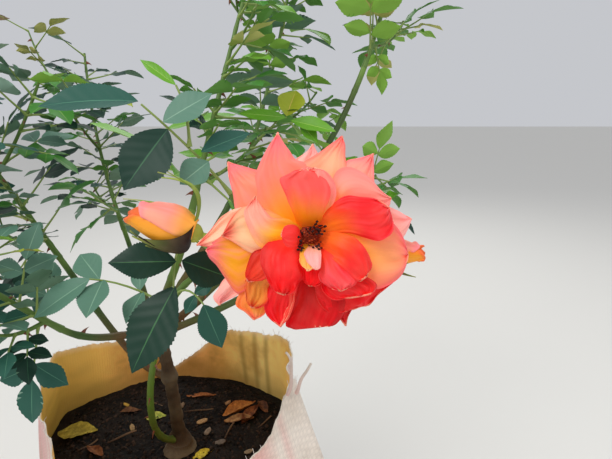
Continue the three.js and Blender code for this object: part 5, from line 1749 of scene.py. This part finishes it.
def makeBud(name, row):
    axis = vec(*row["tip"]) - vec(*row["base"])
    length, girth, title = np.linalg.norm(axis), row["girth"], name.title()
    place = axisFrame(row["base"], axis)
    petals, green = Store(), Store()
    core = [(girth * 0.9 * budRadius(share), length * mix(0.12, 0.97, share)) for share in np.linspace(0, 1, 14)]
    core[-1] = (0.6, length * 0.985)
    addLathe(petals, place, smoothProfile(core, 20), 20, "f0952c", "e2602e")
    for k, (angle, span, layer, tall, paint) in enumerate(row["wraps"]):
        v, u = sheetMap(26, 19)
        share = mix(0.13, 1.0, v) * tall * (1 - 0.1 * u * u * v)
        radius = girth * budRadius(share) * mix(0.93, layer, ramp(0.02, 0.34, v))
        radius = radius + 0.9 * mottle(u, v, 17.0 + 9 * k, 2.2, 2.6) * v ** 2 - 0.5 * u * u * v
        radius = radius + 1.3 * ramp(0.88, 1.0, v)
        turn = np.radians(angle + u * span * mix(1, 0.72, v) + 6 * v)
        points = inFrame(place, radius * np.cos(turn), radius * np.sin(turn), share * length)
        petals.addGrid(points, tint=petalTint(paint, u, v, 31.0 + 7 * k))
    paint = petalMaterial("budPetal" + title, 0.45)
    thicken(buildPiece("budPetals" + title, petals, [paint], ["bud_" + name]), bloom["thickness"])
    cup = [(1.7, 0), (0.4 * girth, 0.05 * length), (0.48 * girth, 0.1 * length), (0.46 * girth, 0.18 * length)]
    addLathe(green, place, smoothProfile(cup, 12), 18, stalkLook["hipLow"], stalkLook["hipHigh"])
    root = (0.42 * girth, 0.13 * length)
    for angle, bend, tip, width, dark in row["sepals"]:
        addSepal(green, place, angle, root, bend, tip, width, dark, 2 if width > 8 else 0)
    addFlowerStalk(green, stalkCurve(row["leaves"], inFrame(place, 0, 0, 1.5), place["forward"]), (1.6, 1.6))
    buildPiece("budSepals" + title, green, [petalMaterial("budGreen" + title, 0.5)])


for name, row in buds.items():
    makeBud(name, row)
print("buds made")

# Dry leaves, chips and bits of twig on the soil: place, heading, length, width or radius, curl, colours
litterSeed = 907
litter = [
    (-104, 8, 8, 42, 27, 0.25, "b9a23c", "8d7a2a"), (-25, 33, 14, 22, 15, 0.2, "c3bd58", "93a03c"),
    (70, 44, 38, 44, 19, 0.9, "9a5a2a", "c8823c"), (84, 36, 64, 36, 15, 1.0, "5e3320", "9c5c34"),
    (72, 26, 12, 34, 14, 0.8, "8c5632", "b98a58"), (96, 54, 120, 26, 12, 0.9, "4a2a1c", "7a4a2c"),
    (18, 74, 4, 36, 8, 0.6, "b26d3a", "8a4f2c"), (42, -26, 34, 22, 12, 0.5, "d9c03a", "b89a2c"),
    (-60, 46, 10, 24, 10, 0.6, "785030", "59351f"), (-72, -22, 150, 26, 11, 0.6, "6a3a20", "8d5630"),
    (8, -92, 60, 26, 11, 0.8, "8a5a38", "63381f"), (-40, -80, 20, 24, 10, 0.5, "b89a3c", "8c6a2a"),
    (62, -70, 130, 26, 11, 0.7, "70472b", "523020"), (112, -8, 80, 26, 11, 0.6, "6a4226", "8c6038"),
]
chips = [
    (30, 24, 20, 12, 7, "b58a5c"), (40, 6, 70, 10, 6, "8a7460"), (56, -8, 10, 12, 7, "6c5c50"),
    (52, 64, 40, 9, 5, "a87850"), (0, 52, 80, 8, 5, "7c6048"), (-46, 14, 120, 9, 5, "9a7b52"),
    (-70, 60, 160, 8, 4, "b98f3a"), (88, -20, 15, 9, 5, "8f7a60"),
]
sticks = [
    (22, 44, 20, 34, 0.9), (-50, -4, 28, 30, 1.1), (-34, 58, 340, 24, 0.9), (64, 8, 75, 26, 1.0),
    (-84, -12, 60, 24, 1.0), (36, 86, 200, 26, 1.0), (-12, -78, 100, 22, 0.9), (100, 24, 48, 24, 0.9),
]


def groundAt(x, y):
    angle = math.degrees(math.atan2(y, x))
    far = math.hypot(x, y) / float(bagRadius(angle, soil["edge"]) - soil["clear"])
    return float(soilHeight(x, y, far, angle))


def laid(x, y, heading, along, across, height):  # points on the ground, from a place and a heading there
    c, s = cosSin(heading)
    return np.stack([x + along * c - across * s, y + along * s + across * c, height], axis=-1)


def makeLitter():
    random = makeRandom(litterSeed)
    store = Store()
    for x, y, heading, length, width, curl, first, second in litter:
        v, u = sheetMap(17, 9)
        half = 0.5 * width * leafletOutline(np.clip(v, 0.02, 0.985)) * (1 + 0.06 * np.sin(30 * v))
        rise = curl * width * (0.16 + 0.42 * u * u) * np.sin(np.pi * np.clip(v, 0.05, 0.95))
        rise = rise + 0.8 * np.sin(7 * v + 3 * u + 6 * random()) + 0.09 * length * (2 * v - 1) ** 2 * curl
        across = u * half * math.cos(0.5 * curl)
        points = laid(x, y, heading, (v - 0.5) * length, across, groundAt(x, y) + 1.2 + rise)
        rib = np.exp(-((u / 0.14) ** 2))
        tint = dyed(first, second, np.clip(0.5 + 1.4 * ripples(points, 0.3, 12.0) + 0.4 * rib, 0, 1))
        store.addSheet(points, 0.35, tint, 0.8)
    for x, y, heading, length, width, colour in chips:
        v, u = sheetMap(7, 5)
        v = 2 * v - 1
        across = 0.5 * width * u * np.sqrt(np.clip(1 - 0.9 * np.abs(v) ** 3, 0.05, 1))
        rise = groundAt(x, y) + 2.2 + 0.9 * (1 - u * u) + 0.8 * v
        points = laid(x, y, heading, 0.5 * length * v, across, rise)
        store.addSheet(points, 1.0, tone(colour) * (1 + 0.3 * ripples(points, 0.9, 4.0))[..., None], 0.7)
    for x, y, heading, length, radius in sticks:
        share = np.linspace(-0.5, 0.5, 9)
        rise = groundAt(x, y) + 2.0 + 2.2 * np.sin(3 * share + x)
        line = laid(x, y, heading, share * length, 0 * share, rise)
        addTube(store, line, radius * (1 - 0.3 * np.abs(share)), 8, dyed("3e2a1c", "7a5c42", share + 0.5))
    paint = Painter("dryLitter", "6a4228", 0.78, 0.3)
    paint.speckled((500.0, 3.0, 0.6), 0.6, 1.25)
    buildPiece("dryLitter", store, [paint.material])


makeLitter()
print("dry leaves on the soil made")

# Prickles along the canes and twigs, placed by Geometry Nodes
prickles = {"Length": 0.0052, "Seed": 5}
prickleRows = {"cane": (34, 20, 12), "twig": (30, 12, 8), "seed": 313}  # spacing, bare root, bare tip


def prickleTree():
    inputs = {"Spots": "Geometry", **prickles, "Finish": "Material"}
    group = Group("prickleRow", "Geometry", inputs, {"Prickles": "Geometry"})
    start = group.start
    sockets = {"Vertices": 7, "Side Segments": 4, "Radius Top": 0.02, "Radius Bottom": 0.3, "Depth": 1.0}
    thorn = group.node("GeometryNodeMeshCone", sockets).outputs["Mesh"]
    place = group.node("GeometryNodeInputPosition").outputs[0]
    height = group.node("ShaderNodeSeparateXYZ", [place]).outputs["Z"]
    hook = group.math("MULTIPLY", group.math("MULTIPLY", height, height), -0.45)
    shift = group.node("ShaderNodeCombineXYZ", {"X": hook}).outputs[0]
    bend = group.node("GeometryNodeSetPosition", {"Geometry": thorn, "Offset": shift}).outputs[0]
    flat = group.node("GeometryNodeTransform", {"Geometry": bend, "Scale": (1.25, 0.55, 1.0)}).outputs[0]
    turn = group.aligned("along", {"Rotation": group.aligned("aim", axis="Z")}, axis="X", pivot_axis="Z")
    long = group.math("MULTIPLY", group.drawn(0.6, 1.15), start["Length"])
    grown = group.scattered(start["Spots"], flat, turn, long)
    return group.give(Prickles=group.painted(grown, start["Finish"]))


def makePrickles():
    random = makeRandom(prickleRows["seed"])
    spots, aims, alongs = [], [], []

    def walk(curve, radii, spacing, first, last):
        at = first
        while at < curve.length() - last:
            share = at / curve.length()
            along = curve.tangent(share)
            out = turned(unit(np.cross(along, up + 0.01)), along, 6.28 * random())
            spots.append(curve.point(share) + out * (mix(*radii, share) * 0.82))
            aims.append(out)
            alongs.append(along)
            at += spacing * mix(0.6, 1.5, random())

    for name, row in canes.items():
        walk(caneCurves[name], row[5], *prickleRows["cane"])
    for mass in grownMasses.values():
        for one in mass["limbs"]:
            walk(one["curve"], one["radii"], *prickleRows["twig"])
    values = {**prickles, "Finish": plainMaterial("redBrownPrickle", "7c4632", 0.45)}
    growPiece("prickles", prickleTree(), values, spots, ways={"aim": aims, "along": alongs})


makePrickles()
print("prickles made")
